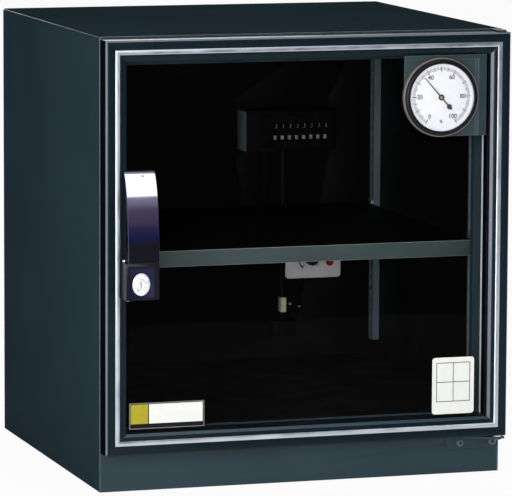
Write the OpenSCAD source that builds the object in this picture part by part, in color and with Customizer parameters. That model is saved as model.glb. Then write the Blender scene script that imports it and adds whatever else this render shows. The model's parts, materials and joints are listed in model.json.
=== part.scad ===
// Camera dry cabinet: a steel box with a framed glass door, one shelf and a dryer unit.
// X runs to the right, Y to the back and Z up. The origin is the middle of the footprint of the
// steel body, on the table.

/* [Cabinet body] */
// Width of the body and of the door
body_w = 400; // [380:5:440]
// Depth of the steel body, without the door
body_d = 360; // [340:5:400]
// Height from the table to the top of the body
body_h = 430; // [410:5:470]
// Thickness of the sheet steel
sheet_t = 1.2; // [1:0.1:1.5]
// Outer radius of the folds along the two top edges
fold_r = 2.5; // [2:0.25:4]
// Height of the plinth that shows under the door
plinth_h = 39; // [37:0.5:46]
// Depth of the lip folded back around the opening
lip_d = 7; // [6:0.5:9]
// Steel flange left showing at the lock side, inside the door seal
lock_land = 4.5; // [4:0.5:6]
// Steel flange left showing at the hinge side, inside the door seal
hinge_land = 7; // [5:0.5:9]
// Steel flange left showing under the top, inside the door seal
top_land = 3.5; // [3:0.5:8]
// Steel flange left showing above the sill, inside the door seal
sill_land = 1.5; // [1:0.5:4]
// Radius of a rubber foot
foot_r = 12; // [9:0.5:15]
// Thickness of a rubber foot
foot_t = 3; // [2.5:0.25:4]
// Distance from the sides of the body to the middle of a corner foot
foot_inset = 30; // [24:1:45]
// How far the feet stand below the steel edges
foot_proud = 1; // [0.6:0.1:1.4]

/* [Door frame] */
// Thickness of the door frame
door_t = 19; // [18:0.5:22]
// Radius of the outer front edge of the frame
edge_r = 3; // [1.5:0.25:3.25]
// Width of the outer flat band of the frame
flat_w = 9; // [8:0.25:11]
// Width of the bright bead
bead_w = 4.4; // [3.6:0.2:5]
// How far the bead stands in front of the frame
bead_proud = 0.8; // [0.5:0.1:1.2]
// Depth of the groove that holds the bead
bead_sink = 1.4; // [1:0.1:1.6]
// Width of the gutter beside the bead
gutter_w = 1; // [0.8:0.1:1.4]
// Depth of the gutter beside the bead
gutter_d = 1; // [0.6:0.1:1.2]
// Width of the slope from the gutter to the glass
cove_w = 5.6; // [4.6:0.2:7]
// Depth of the slope where it meets the glass
cove_d = 1.9; // [1.6:0.1:2.2]
// Thickness of the frame in front of the glazing groove
groove_lip_t = 0.8; // [0.7:0.05:1.2]
// Depth of the glazing groove
groove_d = 5; // [4.5:0.25:6]
// Wall of the hollow frame section
section_t = 2.2; // [1.8:0.1:2.4]
// Length of a corner key leg
key_len = 42; // [30:2:60]

/* [Glass and seals] */
// Thickness of the glass
glass_t = 4; // [3:0.25:5]
// Thickness of the rubber around the edge of the glass
rim_t = 0.5; // [0.4:0.05:0.8]
// Gap between the door frame and the body, which the seal fills
seal_t = 3; // [2.5:0.25:4]
// Distance from the edge of the door to the seal
seal_inset = 11.5; // [10:0.5:12]
// Width of the magnetic strip of the seal
seal_w = 7; // [6:0.5:8]

/* [Hinges] */
// Distance from the side of the door to the hinge axis
pin_side = 7; // [6.6:0.2:7.4]
// Distance from the front of the door to the hinge axis
pin_depth = 7; // [6.9:0.1:7.6]
// Radius of a hinge pin
pin_r = 2.5; // [2:0.1:2.6]
// Running clearance around a pin
pin_clear = 0.05; // [0.03:0.01:0.08]
// Wall of a hinge bush
bush_t = 0.8; // [0.7:0.05:0.9]
// Length of a hinge bush
bush_len = 12; // [9:0.5:16]
// Thickness of the thrust washer on the lower bush
washer_t = 1; // [0.8:0.1:1.4]
// Thickness of the lower hinge leaf
leaf_t = 2; // [1.6:0.1:2.4]
// Width of the lower hinge plate
hinge_plate_w = 53; // [46:1:60]
// Height of the lower hinge plate
hinge_plate_h = 13; // [12:0.5:16]
// Thickness of the upper hinge leaf
upper_leaf_t = 1.6; // [1.4:0.1:1.8]
// Half width of the upper hinge leaf
upper_leaf_half = 4.4; // [4:0.1:4.6]
// Free height above and below the upper hinge leaf
leaf_play = 0.2; // [0.1:0.05:0.3]

/* [Handle and lock] */
// Distance from the side of the door to the handle
handle_inset = 16.7; // [16.4:0.1:17.5]
// Width of the handle
handle_w = 29.4; // [28:0.5:34]
// Distance the handle stands out from the glass
handle_d = 21.7; // [19:0.5:26]
// How far the lock housing reaches past the bow on the side of the frame
housing_shoulder = 2.4; // [1.6:0.2:3.2]
// Height of the lock housing
lock_h = 34.5; // [32:0.5:40]
// Length of the bow above the lock housing
bow_h = 85.5; // [76:0.5:100]
// Thickness of the bow where it is thinnest
bow_t = 3.5; // [3:0.25:4.5]
// Height of the foot of the bow
bow_foot_h = 14; // [12:0.5:18]
// Height of the middle of the lock above the table
lock_z = 203; // [195:1:225]
// Width of the oval lock face
lock_face_w = 17; // [16:0.2:19]
// Height of the oval lock face
lock_face_h = 21; // [18:0.2:22]
// Radius of the lock barrel
barrel_r = 7; // [6.4:0.1:7.2]
// Radius of the turning plug
plug_r = 5; // [4:0.1:5.2]
// Running clearance around the plug
plug_clear = 0.05; // [0.03:0.01:0.08]
// Radius of the spindle that carries the cam
spindle_r = 2.2; // [1.8:0.1:2.3]
// Half width of the cam
cam_half = 2.4; // [2.3:0.1:2.6]
// Length of the cam between its round ends
cam_len = 20; // [16:0.5:22]
// Thickness of the cam
cam_t = 2; // [1.5:0.1:2.5]
// Clearance between the cam and the side of the opening
cam_clear = 0.4; // [0.4:0.1:0.8]

/* [Hygrometer] */
// Distance from the side of the door to the middle of the dial
hygro_side = 71.4; // [70.5:0.1:76]
// Distance from the top of the door to the middle of the dial
hygro_drop = 60.1; // [59.6:0.1:66]
// Outer radius of the bezel
bezel_r = 37.5; // [36:0.25:38]
// Height of the bezel above its plate
bezel_h = 6.8; // [6.2:0.1:9]
// Radius of the dial that shows
dial_r = 32; // [29:0.5:33]
// Thickness of the plate behind the bezel
hygro_plate_t = 2.4; // [2:0.1:2.8]
// Radius of the hygrometer case
case_r = 29.5; // [26:0.5:30]

/* [Shelf and posts] */
// Distance from the body front to the front posts
post_front = 55; // [50:1:70]
// Width of a shelf post
post_w = 13; // [12:0.5:16]
// Distance a post stands out from the side wall
post_d = 7; // [6:0.5:9]
// Height of the ends of the posts above the floor and below the top
post_gap = 16; // [10:1:24]
// Pitch of the shelf slots
slot_pitch = 12; // [11:0.5:16]
// Slot that carries the shelf, counted from the lowest
shelf_slot = 9; // [5:1:12]
// Distance from the body front to the shelf
shelf_front = 40; // [34:1:48]
// Distance from the shelf to the back panel
shelf_back = 9; // [6:0.5:14]
// Height of the front and rear lips of the shelf
shelf_lip = 15.5; // [12:0.5:20]
// Gap between the shelf and the posts
shelf_gap = 5.5; // [3:0.5:8]

/* [Dryer] */
// Width of the dryer unit
dryer_w = 97; // [90:1:110]
// Height of the dryer unit
dryer_h = 41; // [38:0.5:46]
// Depth of the dryer unit
dryer_d = 30; // [28:0.5:36]
// Distance from the side of the body to the middle of the dryer
dryer_side = 104; // [98:1:110]
// Height of the bottom of the dryer above the floor
dryer_rise = 219; // [210:1:240]
// Number of vent openings in a row
vent_count = 8; // [6:1:9]
// Pitch of the vent openings
vent_pitch = 7.7; // [7.2:0.1:7.9]
// Distance from the middle of the dryer to the middle of the vent openings
vent_shift = 9.8; // [8:0.2:10]
// Width of a vent opening
vent_w = 3.6; // [3:0.1:3.8]

/* [Control] */
// Width of the control plate
control_w = 60; // [54:1:70]
// Height of the control plate
control_h = 40; // [38:1:50]
// Distance the control plate stands out from the back panel
control_d = 18.8; // [17:0.2:24]
// Distance from the side of the body to the middle of the control plate
control_side = 75.6; // [70:0.2:78]
// Height of the bottom of the control plate above the floor
control_rise = 84.5; // [80:0.5:96]
// Radius of the humidity knob
knob_r = 7; // [6:0.25:8]
// Radius of the power lamp
lamp_r = 3.2; // [2.5:0.1:3.6]

/* [Rear] */
// Width of the rear vent cover
cover_w = 110; // [100:1:124]
// Height of the rear vent cover
cover_h = 70; // [64:1:80]
// Depth of the rear vent cover
cover_d = 10; // [8:0.5:14]
// Distance from the side of the body to the middle of the mains inlet
inlet_side = 104.8; // [100:0.2:110]
// Height of the mains inlet above the floor
inlet_rise = 32; // [28:1:40]

/* [Hidden] */
$fn = 48;

// One overrun for every cut
over = 0.5;

// Body: inner faces and the door opening
inner_x = body_w / 2 - sheet_t;
front_y = -body_d / 2;
flange_y = front_y + sheet_t;
back_y = body_d / 2;
inner_back_y = back_y - sheet_t;
wrap_z0 = foot_proud;
door_drop = upper_leaf_t + 2 * leaf_play;
seal_bulb_r = seal_t / 2 - 0.15 * seal_t / 3;
seal_reach = seal_inset + seal_w + 2 * seal_bulb_r;
open_x0 = seal_reach + lock_land - body_w / 2;
open_x1 = body_w / 2 - seal_reach - hinge_land;
open_z1 = body_h - door_drop - seal_reach - top_land;
floor_z = plinth_h + seal_reach + sill_land;

// Door: corner of the frame and the frame section
door_y = front_y - seal_t - door_t;
door_z0 = plinth_h;
door_z1 = body_h - door_drop;
door_h = door_z1 - door_z0;
bead_u1 = flat_w + bead_w;
gutter_u1 = bead_u1 + gutter_w;
frame_w = gutter_u1 + cove_w;
cove_start_d = 0.3 * gutter_d;
cove_bulge = 0.2 * cove_d;
groove_u0 = frame_w - groove_d;
groove_v0 = cove_d + groove_lip_t;
glass_v0 = groove_v0 + rim_t;
groove_v1 = glass_v0 + glass_t + rim_t;
chamber_u0 = section_t;
chamber_u1 = groove_u0 - section_t;
chamber_v0 = bead_sink + section_t - rim_t / 2.5;
chamber_v1 = door_t - section_t;
glass_y0 = door_y + glass_v0;
glass_y1 = glass_y0 + glass_t;
mitre_w = seal_reach + frame_w;
mitre_reach = 2 * (door_t + seal_t);

// Hinge axis and leaves
pin_x = body_w / 2 - pin_side;
pin_y = door_y + pin_depth;
bush_r = pin_r + pin_clear + bush_t;
washer_r = bush_r + 1.6 * bush_t;
leaf_z1 = door_z0 - washer_t;
leaf_nose = pin_r + 1.2 * leaf_t;
pin_head_t = 0.6 * leaf_t;
pin_head_r = pin_r + 0.8 * leaf_t;
hinge_plate_x1 = body_w / 2 - sheet_t;
hinge_plate_r = 0.4 * hinge_plate_h;
hinge_screw_r = 2;
hinge_screw_play = 0.15;
hinge_screw_in = 6;
hinge_head_r = 3.8;
hinge_head_h = 2.4;
hinge_screw_left = 14;
hinge_screw_right = 47;
upper_leaf_z1 = body_h - leaf_play;
upper_leg_h = 22;
notch_play = 0.1;

// Lock and handle places
lock_x = open_x0 + cam_clear + cam_half;
handle_x0 = handle_inset - body_w / 2;
handle_x1 = handle_x0 + handle_w;
housing_x0 = handle_x0 - housing_shoulder;
handle_y = glass_y0 - handle_d;
lock_z0 = lock_z - 0.435 * lock_h;
lock_z1 = lock_z0 + lock_h;
bow_z1 = lock_z1 + bow_h;
housing_t = 2;
housing_recess = 1;
housing_border = 3.7;
recess_x1 = handle_x1 - 1.3 * housing_border;
recess_z0 = lock_z0 + 0.57 * housing_border;
recess_z1 = lock_z1 - 1.25 * housing_border;
frame_stand_off = 0.5;
face_t = 2.4;
keyway_w = 1.2;
keyway_h = 6.4;
keyway_d = 7;
nut_r = 8;
lock_boss_r = 9.5;
nut_t = 5;
barrel_end = 2;
keeper_t = 1.4;
keeper_play = 0.4;
keeper_h = 30;
cam_y = flange_y + keeper_t + keeper_play;
cam_head_r = 2.2;
cam_head_t = 2;
cam_slot_up = 4;
handle_screw_r = 2;
handle_screw_head_r = 3.6;
handle_screw_head_t = 2.2;
handle_screw_in = 8;
boss_r = 3.6;
bow_screw_z = bow_z1 - 0.5 * bow_foot_h;
bow_screw_x = handle_x0 + 0.58 * handle_w;
housing_screw_edge = 5;
housing_screw_z = lock_z0 + housing_screw_edge;
housing_screw_x = handle_x1 - housing_screw_edge;
top_screw_edge = 0.1;
top_screw_x = handle_x0 + top_screw_edge;
top_screw_y = handle_y + 0.72 * handle_d;
top_screw_r = 1.9;
top_screw_h = 1.8;

// Hygrometer levels, counted forward from its plate
hygro_x = body_w / 2 - hygro_side;
hygro_z = door_z1 - hygro_drop;
hygro_y = glass_y0 - hygro_plate_t;
hygro_rim = 0.8;
lens_lap = 1.5;
lens_r = dial_r + lens_lap;
lens_t = 1;
dial_t = 0.8;
case_flange_t = 2.4;
case_t = 1.5;
case_back = 12;
case_play = 0.6;
needle_t = 0.4;
needle_w = 0.8;
needle_long = 25;
needle_tail = 16.5;
needle_blob_r = 2.6;
needle_blob_at = 11.5;
needle_hub_r = 3.2;
needle_hub_h = 1.2;
needle_lift = 0.3;
needle_axle_r = 0.8;
needle_axle_in = 8;
needle_fit = 0.05;
needle_boss_r = 3;
needle_boss_h = 5;
// Reading at rest, as an angle from straight up
needle_rest = 41.5;
plate_inset = 4.5;
plate_left = 36;
plate_gap = 0.3;
strip_t = 1.2;
strip_h = 4;
strip_end = 9;
ridge_w = 1.2;
ridge_h = 0.5;
ridge_inset = 7.4;

// Posts, clips and shelf
post_t = 1;
post_z0 = floor_z + post_gap;
post_z1 = body_h - sheet_t - post_gap;
post_rear_y = inner_back_y - post_w - sheet_t;
web_x = inner_x - post_d;
slot_w = 3;
slot_h = 8;
slot_first = 3 * slot_h;
slot_count = floor((post_z1 - post_z0 - 2 * slot_first) / slot_pitch);
slot_z = post_z0 + slot_first + shelf_slot * slot_pitch;
clip_t = 2;
clip_w = 8;
clip_arm = 18;
clip_rise = 11;
clip_tab_h = 4;
tongue_play = 0.2;
shelf_z0 = slot_z + clip_rise;
shelf_z1 = shelf_z0 + sheet_t;
shelf_x = web_x - shelf_gap;
rear_lip_x = web_x - 2 * clip_t - clip_arm;
shelf_y0 = front_y + shelf_front;
shelf_y1 = inner_back_y - shelf_back;

// Dryer unit
dryer_x = body_w / 2 - dryer_side;
dryer_y = inner_back_y - dryer_d;
dryer_z = floor_z + dryer_rise;
dryer_wall = 1.5;
dryer_base_t = 1.6;
vent_h = 4.5;
vent_low_share = 0.33;
vent_high_share = 0.62;
hood_d = 1.2;
hood_h = 1;
dryer_hole_r = 12;
dryer_boss_r = 3.2;
dryer_screw_r = 1.6;
dryer_screw_side = 27;
dryer_screw_edge = 5.5;
dryer_head_r = 2.6;
dryer_head_t = 1.2;
dryer_screw_end = 4;
shutter_t = 1.2;
shutter_play = 0.3;
shutter_rail = 1.3;
shutter_lap = 1;
shutter_travel = 3.5;
actuator_r = 3;
actuator_len = 14;
actuator_rod_r = 1.2;
actuator_fit = 0.05;
actuator_rod_in = 9;
actuator_wall = 1;
cartridge_w = 52;
cartridge_h = 22;
cartridge_d = 14;
heater_w = 14;
heater_gap = 4;
heater_fins = 6;
heater_fin_t = 1;
heater_core_t = 4;

// Control unit
control_x = body_w / 2 - control_side;
control_y = inner_back_y - control_d;
control_z = floor_z + control_rise;
control_t = 1.8;
control_r = 4;
control_wall = 1.5;
control_step = 3.4;
knob_left = 2.9;
knob_up = 20.5;
knob_x = control_x - knob_left;
knob_z = control_z + knob_up;
knob_h = 9;
knob_shaft_r = 3;
knob_fit = 0.05;
knob_lift = 0.4;
knob_flutes = 14;
knob_flute_r = 0.7;
humidistat_r = 8;
humidistat_t = 8;
knob_shaft_in = 6;
lamp_right = 18.2;
lamp_up = 16;
lamp_x = control_x + lamp_right;
lamp_z = control_z + lamp_up;
lamp_in = 8;
lamp_lip = 0.8;
lamp_flange_r = lamp_r + lamp_lip;
lamp_flange_t = 0.8;

// Rear
cover_z = dryer_z + dryer_h / 2;
cover_flange = 9;
cover_t = 1.5;
louvre_count = 6;
louvre_h = 3;
rear_screw_r = 1.6;
rear_head_r = 3.4;
rear_head_t = 2.2;
inlet_x = body_w / 2 - inlet_side;
inlet_z = floor_z + inlet_rise;
inlet_w = 42;
inlet_h = 22;
inlet_t = 2;
inlet_body_w = 24;
inlet_body_h = 16;
inlet_body_d = 15;
socket_r = 4.4;
socket_half = 3.9;
socket_d = 12;
contact_r = 1.2;
contact_half = 4.3;
contact_len = 10;
inlet_screw_half = 16.5;
lead_r = 2;
lead_stand_off = 5;
lead_y = inner_back_y - lead_stand_off;
lead_clip_w = 5.4;
lead_clip_h = 15;
lead_clip_d = 11;
clip_above_inlet = 24;
lead_clip_z = inlet_z + clip_above_inlet;
clip_plate_w = 26;
clip_plate_h = 14;
clip_plate_t = 1;
clip_screw_r = 1.2;
clip_head_r = 2;
clip_head_t = 1.4;
clip_screw_shares = [[0.49, 0.52], [0.87, 0.26]];

// Shapes that repeat

// Box between two corners, given as a range along each axis
module span(x, y, z) {
    translate([x[0], y[0], z[0]]) cube([x[1] - x[0], y[1] - y[0], z[1] - z[0]]);
}

// Round bar along Y
module bar_y(r, x, y, z) {
    translate([x, y[1], z]) rotate([90, 0, 0]) cylinder(r = r, h = y[1] - y[0]);
}

// Cone along Y, with its radii at the front and at the back
module cone_y(r_front, r_back, x, y, z) {
    translate([x, y[1], z]) rotate([90, 0, 0]) cylinder(r1 = r_back, r2 = r_front, h = y[1] - y[0]);
}

// Round bar along Z
module bar_z(r, x, y, z) {
    translate([x, y, z[0]]) cylinder(r = r, h = z[1] - z[0]);
}

// Plate standing in the XZ plane, cut from a flat outline
module upright(y) {
    translate([0, y[1], 0]) rotate([90, 0, 0]) linear_extrude(y[1] - y[0]) children();
}

// Flat rectangle with round corners
module rounded(w, h, r) {
    square([w - 2 * r, h], center = true);
    square([w, h - 2 * r], center = true);
    for (sx = [-1, 1])
        for (sz = [-1, 1])
            translate([sx * (w / 2 - r), sz * (h / 2 - r)]) circle(r);
}

// Pan head with a cross recess, its head facing the front
module cross_head(r, t, x, y, z) {
    difference() {
        union() {
            bar_y(r, x, [y - t / 2, y], z);
            cone_y(0.7 * r, r, x, [y - t, y - t / 2], z);
        }
        for (turn = [0, 90])
            translate([x, y - t, z]) rotate([0, turn, 0])
                cube([r, t, 0.28 * r], center = true);
    }
}

// Outline of the folded wrap, drawn in X and Z
module wrap_outline(half, top, r, low) {
    translate([-half, low]) square([2 * half, top - r - low]);
    translate([r - half, low]) square([2 * (half - r), top - low]);
    for (s = [-1, 1])
        translate([s * (half - r), top - r]) circle(r);
}

// Space inside the wrap, drawn in X and Z
module inside_outline(low) {
    wrap_outline(inner_x, body_h - sheet_t, fold_r - sheet_t, low);
}

// One side of the door from a section drawn in distance from the edge and depth from the front
module mitred(len) {
    intersection() {
        linear_extrude(len) children();
        translate([0, mitre_reach, 0]) rotate([90, 0, 0]) linear_extrude(2 * mitre_reach)
            polygon([[0, 0], [0, len], [mitre_w, len - mitre_w], [mitre_w, mitre_w]]);
    }
}

module door_left() {
    translate([-body_w / 2, door_y, door_z0]) mitred(door_h) children();
}

module door_right() {
    mirror([1, 0, 0]) door_left() children();
}

module door_bottom() {
    translate([-body_w / 2, door_y, door_z0]) mirror([1, 0, -1]) mitred(body_w) children();
}

module door_top() {
    translate([0, 0, door_z0 + door_z1]) mirror([0, 0, 1]) door_bottom() children();
}

module door_ring() {
    door_left() children();
    door_right() children();
    door_bottom() children();
    door_top() children();
}

// Sections of the door

module frame_section() {
    difference() {
        polygon(concat(
            [[0, door_t]],
            [for (a = [180:15:270]) [edge_r + edge_r * cos(a), edge_r + edge_r * sin(a)]],
            [[flat_w, 0], [flat_w, bead_sink], [bead_u1, bead_sink], [bead_u1, gutter_d],
             [gutter_u1, gutter_d]],
            [for (s = [0:0.125:1]) [gutter_u1 + s * cove_w,
                cove_start_d + s * (cove_d - cove_start_d) - cove_bulge * sin(180 * s)]],
            [[frame_w, door_t]]
        ));
        translate([groove_u0, groove_v0]) square([groove_d + over, groove_v1 - groove_v0]);
        translate([chamber_u0, chamber_v0])
            square([chamber_u1 - chamber_u0, chamber_v1 - chamber_v0]);
    }
}

module bead_section() {
    polygon(concat(
        [[flat_w, bead_sink]],
        [for (s = [0:0.125:1]) [flat_w + s * bead_w, -bead_proud * sqrt(max(0, sin(180 * s)))]],
        [[bead_u1, bead_sink]]
    ));
}

module gasket_section() {
    difference() {
        translate([groove_u0, groove_v0]) square([groove_d, groove_v1 - groove_v0]);
        translate([groove_u0 + rim_t, glass_v0]) square([groove_d, glass_t]);
    }
}

module seal_section() {
    translate([seal_inset, door_t]) square([seal_w, seal_t]);
    translate([seal_inset + seal_w + seal_bulb_r - over / 2, door_t + seal_t / 2])
        circle(seal_bulb_r);
}

// Cabinet body

module outer_wrap() {
    color("darkslategray") difference() {
        upright([front_y, back_y]) difference() {
            wrap_outline(body_w / 2, body_h, fold_r, wrap_z0);
            inside_outline(wrap_z0 - over);
        }
        leaf_notch(over);
    }
}

// Space that the upper hinge leaf takes in the top front edge of the body
module leaf_notch(up) {
    span([pin_x - upper_leaf_half - notch_play, pin_x + upper_leaf_half + notch_play],
         [front_y - over, flange_y + upper_leaf_t + notch_play],
         [upper_leaf_z1 - upper_leaf_t - notch_play, body_h + up]);
}

module back_panel() {
    color("darkslategray") difference() {
        upright([inner_back_y, back_y]) inside_outline(wrap_z0);
        bar_y(dryer_hole_r, dryer_x, [inner_back_y - over, back_y + over], cover_z);
        span([inlet_x - inlet_body_w / 2, inlet_x + inlet_body_w / 2],
             [inner_back_y - over, back_y + over],
             [inlet_z - inlet_body_h / 2, inlet_z + inlet_body_h / 2]);
        for (p = dryer_screw_places())
            bar_y(dryer_screw_r, p[0], [inner_back_y - over, back_y + over], p[1]);
        for (p = rear_screw_places())
            bar_y(rear_screw_r, p[0], [inner_back_y - over, back_y + over], p[1]);
        for (p = clip_screw_places())
            bar_y(clip_screw_r, p[0], [inner_back_y - over, back_y + over], p[1]);
    }
}

// Flange beside the door opening, with its lip folded back
module right_jamb() {
    color("darkslategray") {
        span([open_x1, inner_x], [front_y, flange_y], [floor_z, open_z1]);
        span([open_x1, open_x1 + sheet_t], [flange_y, flange_y + lip_d], [floor_z, open_z1]);
    }
}

// The lip stops short above and below the lock, where the cam swings behind the flange
module left_jamb() {
    color("darkslategray") {
        span([-inner_x, open_x0], [front_y, flange_y], [floor_z, open_z1]);
        for (z = [[floor_z, lock_z - cam_len - 2 * cam_half], [lock_z + cam_half + cam_slot_up, open_z1]])
            span([open_x0 - sheet_t, open_x0], [flange_y, flange_y + lip_d], z);
    }
}

module header() {
    color("darkslategray") difference() {
        union() {
            upright([front_y, flange_y]) intersection() {
                inside_outline(wrap_z0);
                translate([-inner_x, open_z1]) square([2 * inner_x, body_h - open_z1]);
            }
            span([open_x0 - sheet_t, open_x1 + sheet_t], [flange_y, flange_y + lip_d],
                 [open_z1, open_z1 + sheet_t]);
        }
        leaf_notch(over);
    }
}

module plinth_panel() {
    color("slategray") difference() {
        span([-inner_x, inner_x], [front_y, flange_y], [wrap_z0, floor_z]);
        for (x = hinge_screw_places())
            bar_y(hinge_screw_r, x, [front_y - over, flange_y + over], hinge_screw_z());
    }
}

module chamber_floor() {
    color("black") span([-inner_x, inner_x], [flange_y, inner_back_y], [floor_z - sheet_t, floor_z]);
}

module base_panel() {
    color("darkslategray")
        span([-inner_x, inner_x], [flange_y, inner_back_y], [foot_t, foot_t + sheet_t]);
}

module rubber_feet() {
    color("black") {
        bar_z(foot_r, 0, 0, [0, foot_t]);
        for (sx = [-1, 1])
            for (sy = [-1, 1])
                bar_z(foot_r, sx * (body_w / 2 - foot_inset), sy * (body_d / 2 - foot_inset), [0, foot_t]);
    }
}

// Hinges

function hinge_screw_places() = [
    hinge_plate_x1 - hinge_plate_w + hinge_screw_left,
    hinge_plate_x1 - hinge_plate_w + hinge_screw_right
];
function hinge_screw_z() = leaf_z1 - 0.55 * hinge_plate_h;

module lower_hinge_bracket() {
    color("darkslategray") difference() {
        union() {
            upright([front_y - leaf_t, front_y]) difference() {
                translate([hinge_plate_x1 - hinge_plate_w, leaf_z1 - hinge_plate_h])
                    square([hinge_plate_w, hinge_plate_h]);
                translate([hinge_plate_x1 - hinge_plate_w, leaf_z1 - hinge_plate_h]) difference() {
                    square(hinge_plate_r);
                    translate([hinge_plate_r, hinge_plate_r]) circle(hinge_plate_r);
                }
            }
            translate([0, 0, leaf_z1 - leaf_t]) linear_extrude(leaf_t) polygon([
                [hinge_plate_x1 - hinge_plate_w, front_y],
                [hinge_plate_x1, front_y],
                [hinge_plate_x1, pin_y - leaf_nose],
                [pin_x - 2 * leaf_nose, pin_y - leaf_nose],
                [hinge_plate_x1 - hinge_plate_w, front_y - leaf_t]
            ]);
        }
        bar_z(pin_r, pin_x, pin_y, [leaf_z1 - leaf_t - over, leaf_z1 + over]);
        for (x = hinge_screw_places())
            bar_y(hinge_screw_r + hinge_screw_play, x, [front_y - leaf_t - over, front_y + over],
                  hinge_screw_z());
    }
}

module upper_hinge_bracket() {
    color("darkslategray") difference() {
        union() {
            translate([0, 0, upper_leaf_z1 - upper_leaf_t]) linear_extrude(upper_leaf_t) {
                translate([pin_x - upper_leaf_half, pin_y])
                    square([2 * upper_leaf_half, flange_y + upper_leaf_t - pin_y]);
                translate([pin_x, pin_y]) circle(upper_leaf_half);
            }
            span([pin_x - upper_leaf_half, pin_x + upper_leaf_half], [flange_y, flange_y + upper_leaf_t],
                 [upper_leaf_z1 - upper_leg_h, upper_leaf_z1]);
        }
        bar_z(pin_r, pin_x, pin_y, [upper_leaf_z1 - upper_leaf_t - over, upper_leaf_z1 + over]);
    }
}

module hinge_pins() {
    color("silver") {
        bar_z(pin_r, pin_x, pin_y, [leaf_z1 - leaf_t - pin_head_t, door_z0 + bush_len - washer_t]);
        bar_z(pin_head_r, pin_x, pin_y, [leaf_z1 - leaf_t - pin_head_t, leaf_z1 - leaf_t]);
        bar_z(pin_r, pin_x, pin_y, [door_z1 - bush_len + washer_t, upper_leaf_z1]);
    }
}

module hinge_screws() {
    color("gray")
        for (x = hinge_screw_places()) {
            cross_head(hinge_head_r, hinge_head_h, x, front_y - leaf_t, hinge_screw_z());
            bar_y(hinge_screw_r, x, [front_y - leaf_t, front_y + hinge_screw_in], hinge_screw_z());
        }
}

// Plate behind the left jamb that the lock cam turns in behind
module lock_keeper() {
    color("silver")
        span([-inner_x + sheet_t, open_x0 - sheet_t], [flange_y, flange_y + keeper_t],
             [lock_z - keeper_h / 2, lock_z + keeper_h / 2]);
}

// Shelf posts, clips and shelf

// Slotted channel on the right wall, drawn from its front edge at y
module slotted_post(y) {
    difference() {
        span([web_x, inner_x], [y, y + post_w], [post_z0, post_z1]);
        span([web_x + post_t, inner_x + over], [y + post_t, y + post_w - post_t],
             [post_z0 - over, post_z1 + over]);
        for (i = [0:slot_count])
            span([web_x - over, web_x + post_t + over],
                 [y + post_w / 2 - slot_w / 2, y + post_w / 2 + slot_w / 2],
                 [post_z0 + slot_first + i * slot_pitch - slot_h / 2,
                  post_z0 + slot_first + i * slot_pitch + slot_h / 2]);
    }
}

module front_right_post() {
    color("dimgray") slotted_post(front_y + post_front);
}

module front_left_post() {
    color("dimgray") mirror([1, 0, 0]) slotted_post(front_y + post_front);
}

module rear_right_post() {
    color("dimgray") slotted_post(post_rear_y);
}

module rear_left_post() {
    color("dimgray") mirror([1, 0, 0]) slotted_post(post_rear_y);
}

// Clip hooked in a post slot, with an arm under the shelf
module shelf_clip(y) {
    mid = y + post_w / 2;
    span([web_x - clip_t, web_x], [mid - clip_w / 2, mid + clip_w / 2],
         [slot_z - slot_h / 2, shelf_z0 + clip_tab_h]);
    span([web_x - clip_t - clip_arm, web_x - clip_t], [mid - clip_w / 2, mid + clip_w / 2],
         [shelf_z0 - clip_t, shelf_z0]);
    span([web_x, web_x + clip_t + post_t],
         [mid - slot_w / 2 + tongue_play, mid + slot_w / 2 - tongue_play],
         [slot_z - slot_h / 2 + tongue_play, slot_z + slot_h / 2 - tongue_play]);
}

module shelf_clips() {
    color("silver")
        for (y = [front_y + post_front, post_rear_y]) {
            shelf_clip(y);
            mirror([1, 0, 0]) shelf_clip(y);
        }
}

module shelf() {
    color("darkseagreen") {
        span([-shelf_x, shelf_x], [shelf_y0, shelf_y1], [shelf_z0, shelf_z1]);
        span([-shelf_x, shelf_x], [shelf_y0, shelf_y0 + sheet_t], [shelf_z1 - shelf_lip, shelf_z1]);
        span([-rear_lip_x, rear_lip_x], [shelf_y1 - sheet_t, shelf_y1], [shelf_z1 - shelf_lip, shelf_z1]);
    }
}

// Dryer unit on the back panel

function dryer_screw_places() = [
    for (sx = [-1, 1])
        for (z = [dryer_z + dryer_screw_edge, dryer_z + dryer_h - dryer_screw_edge])
            [dryer_x + sx * (dryer_w / 2 - dryer_screw_side), z]
];

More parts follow.
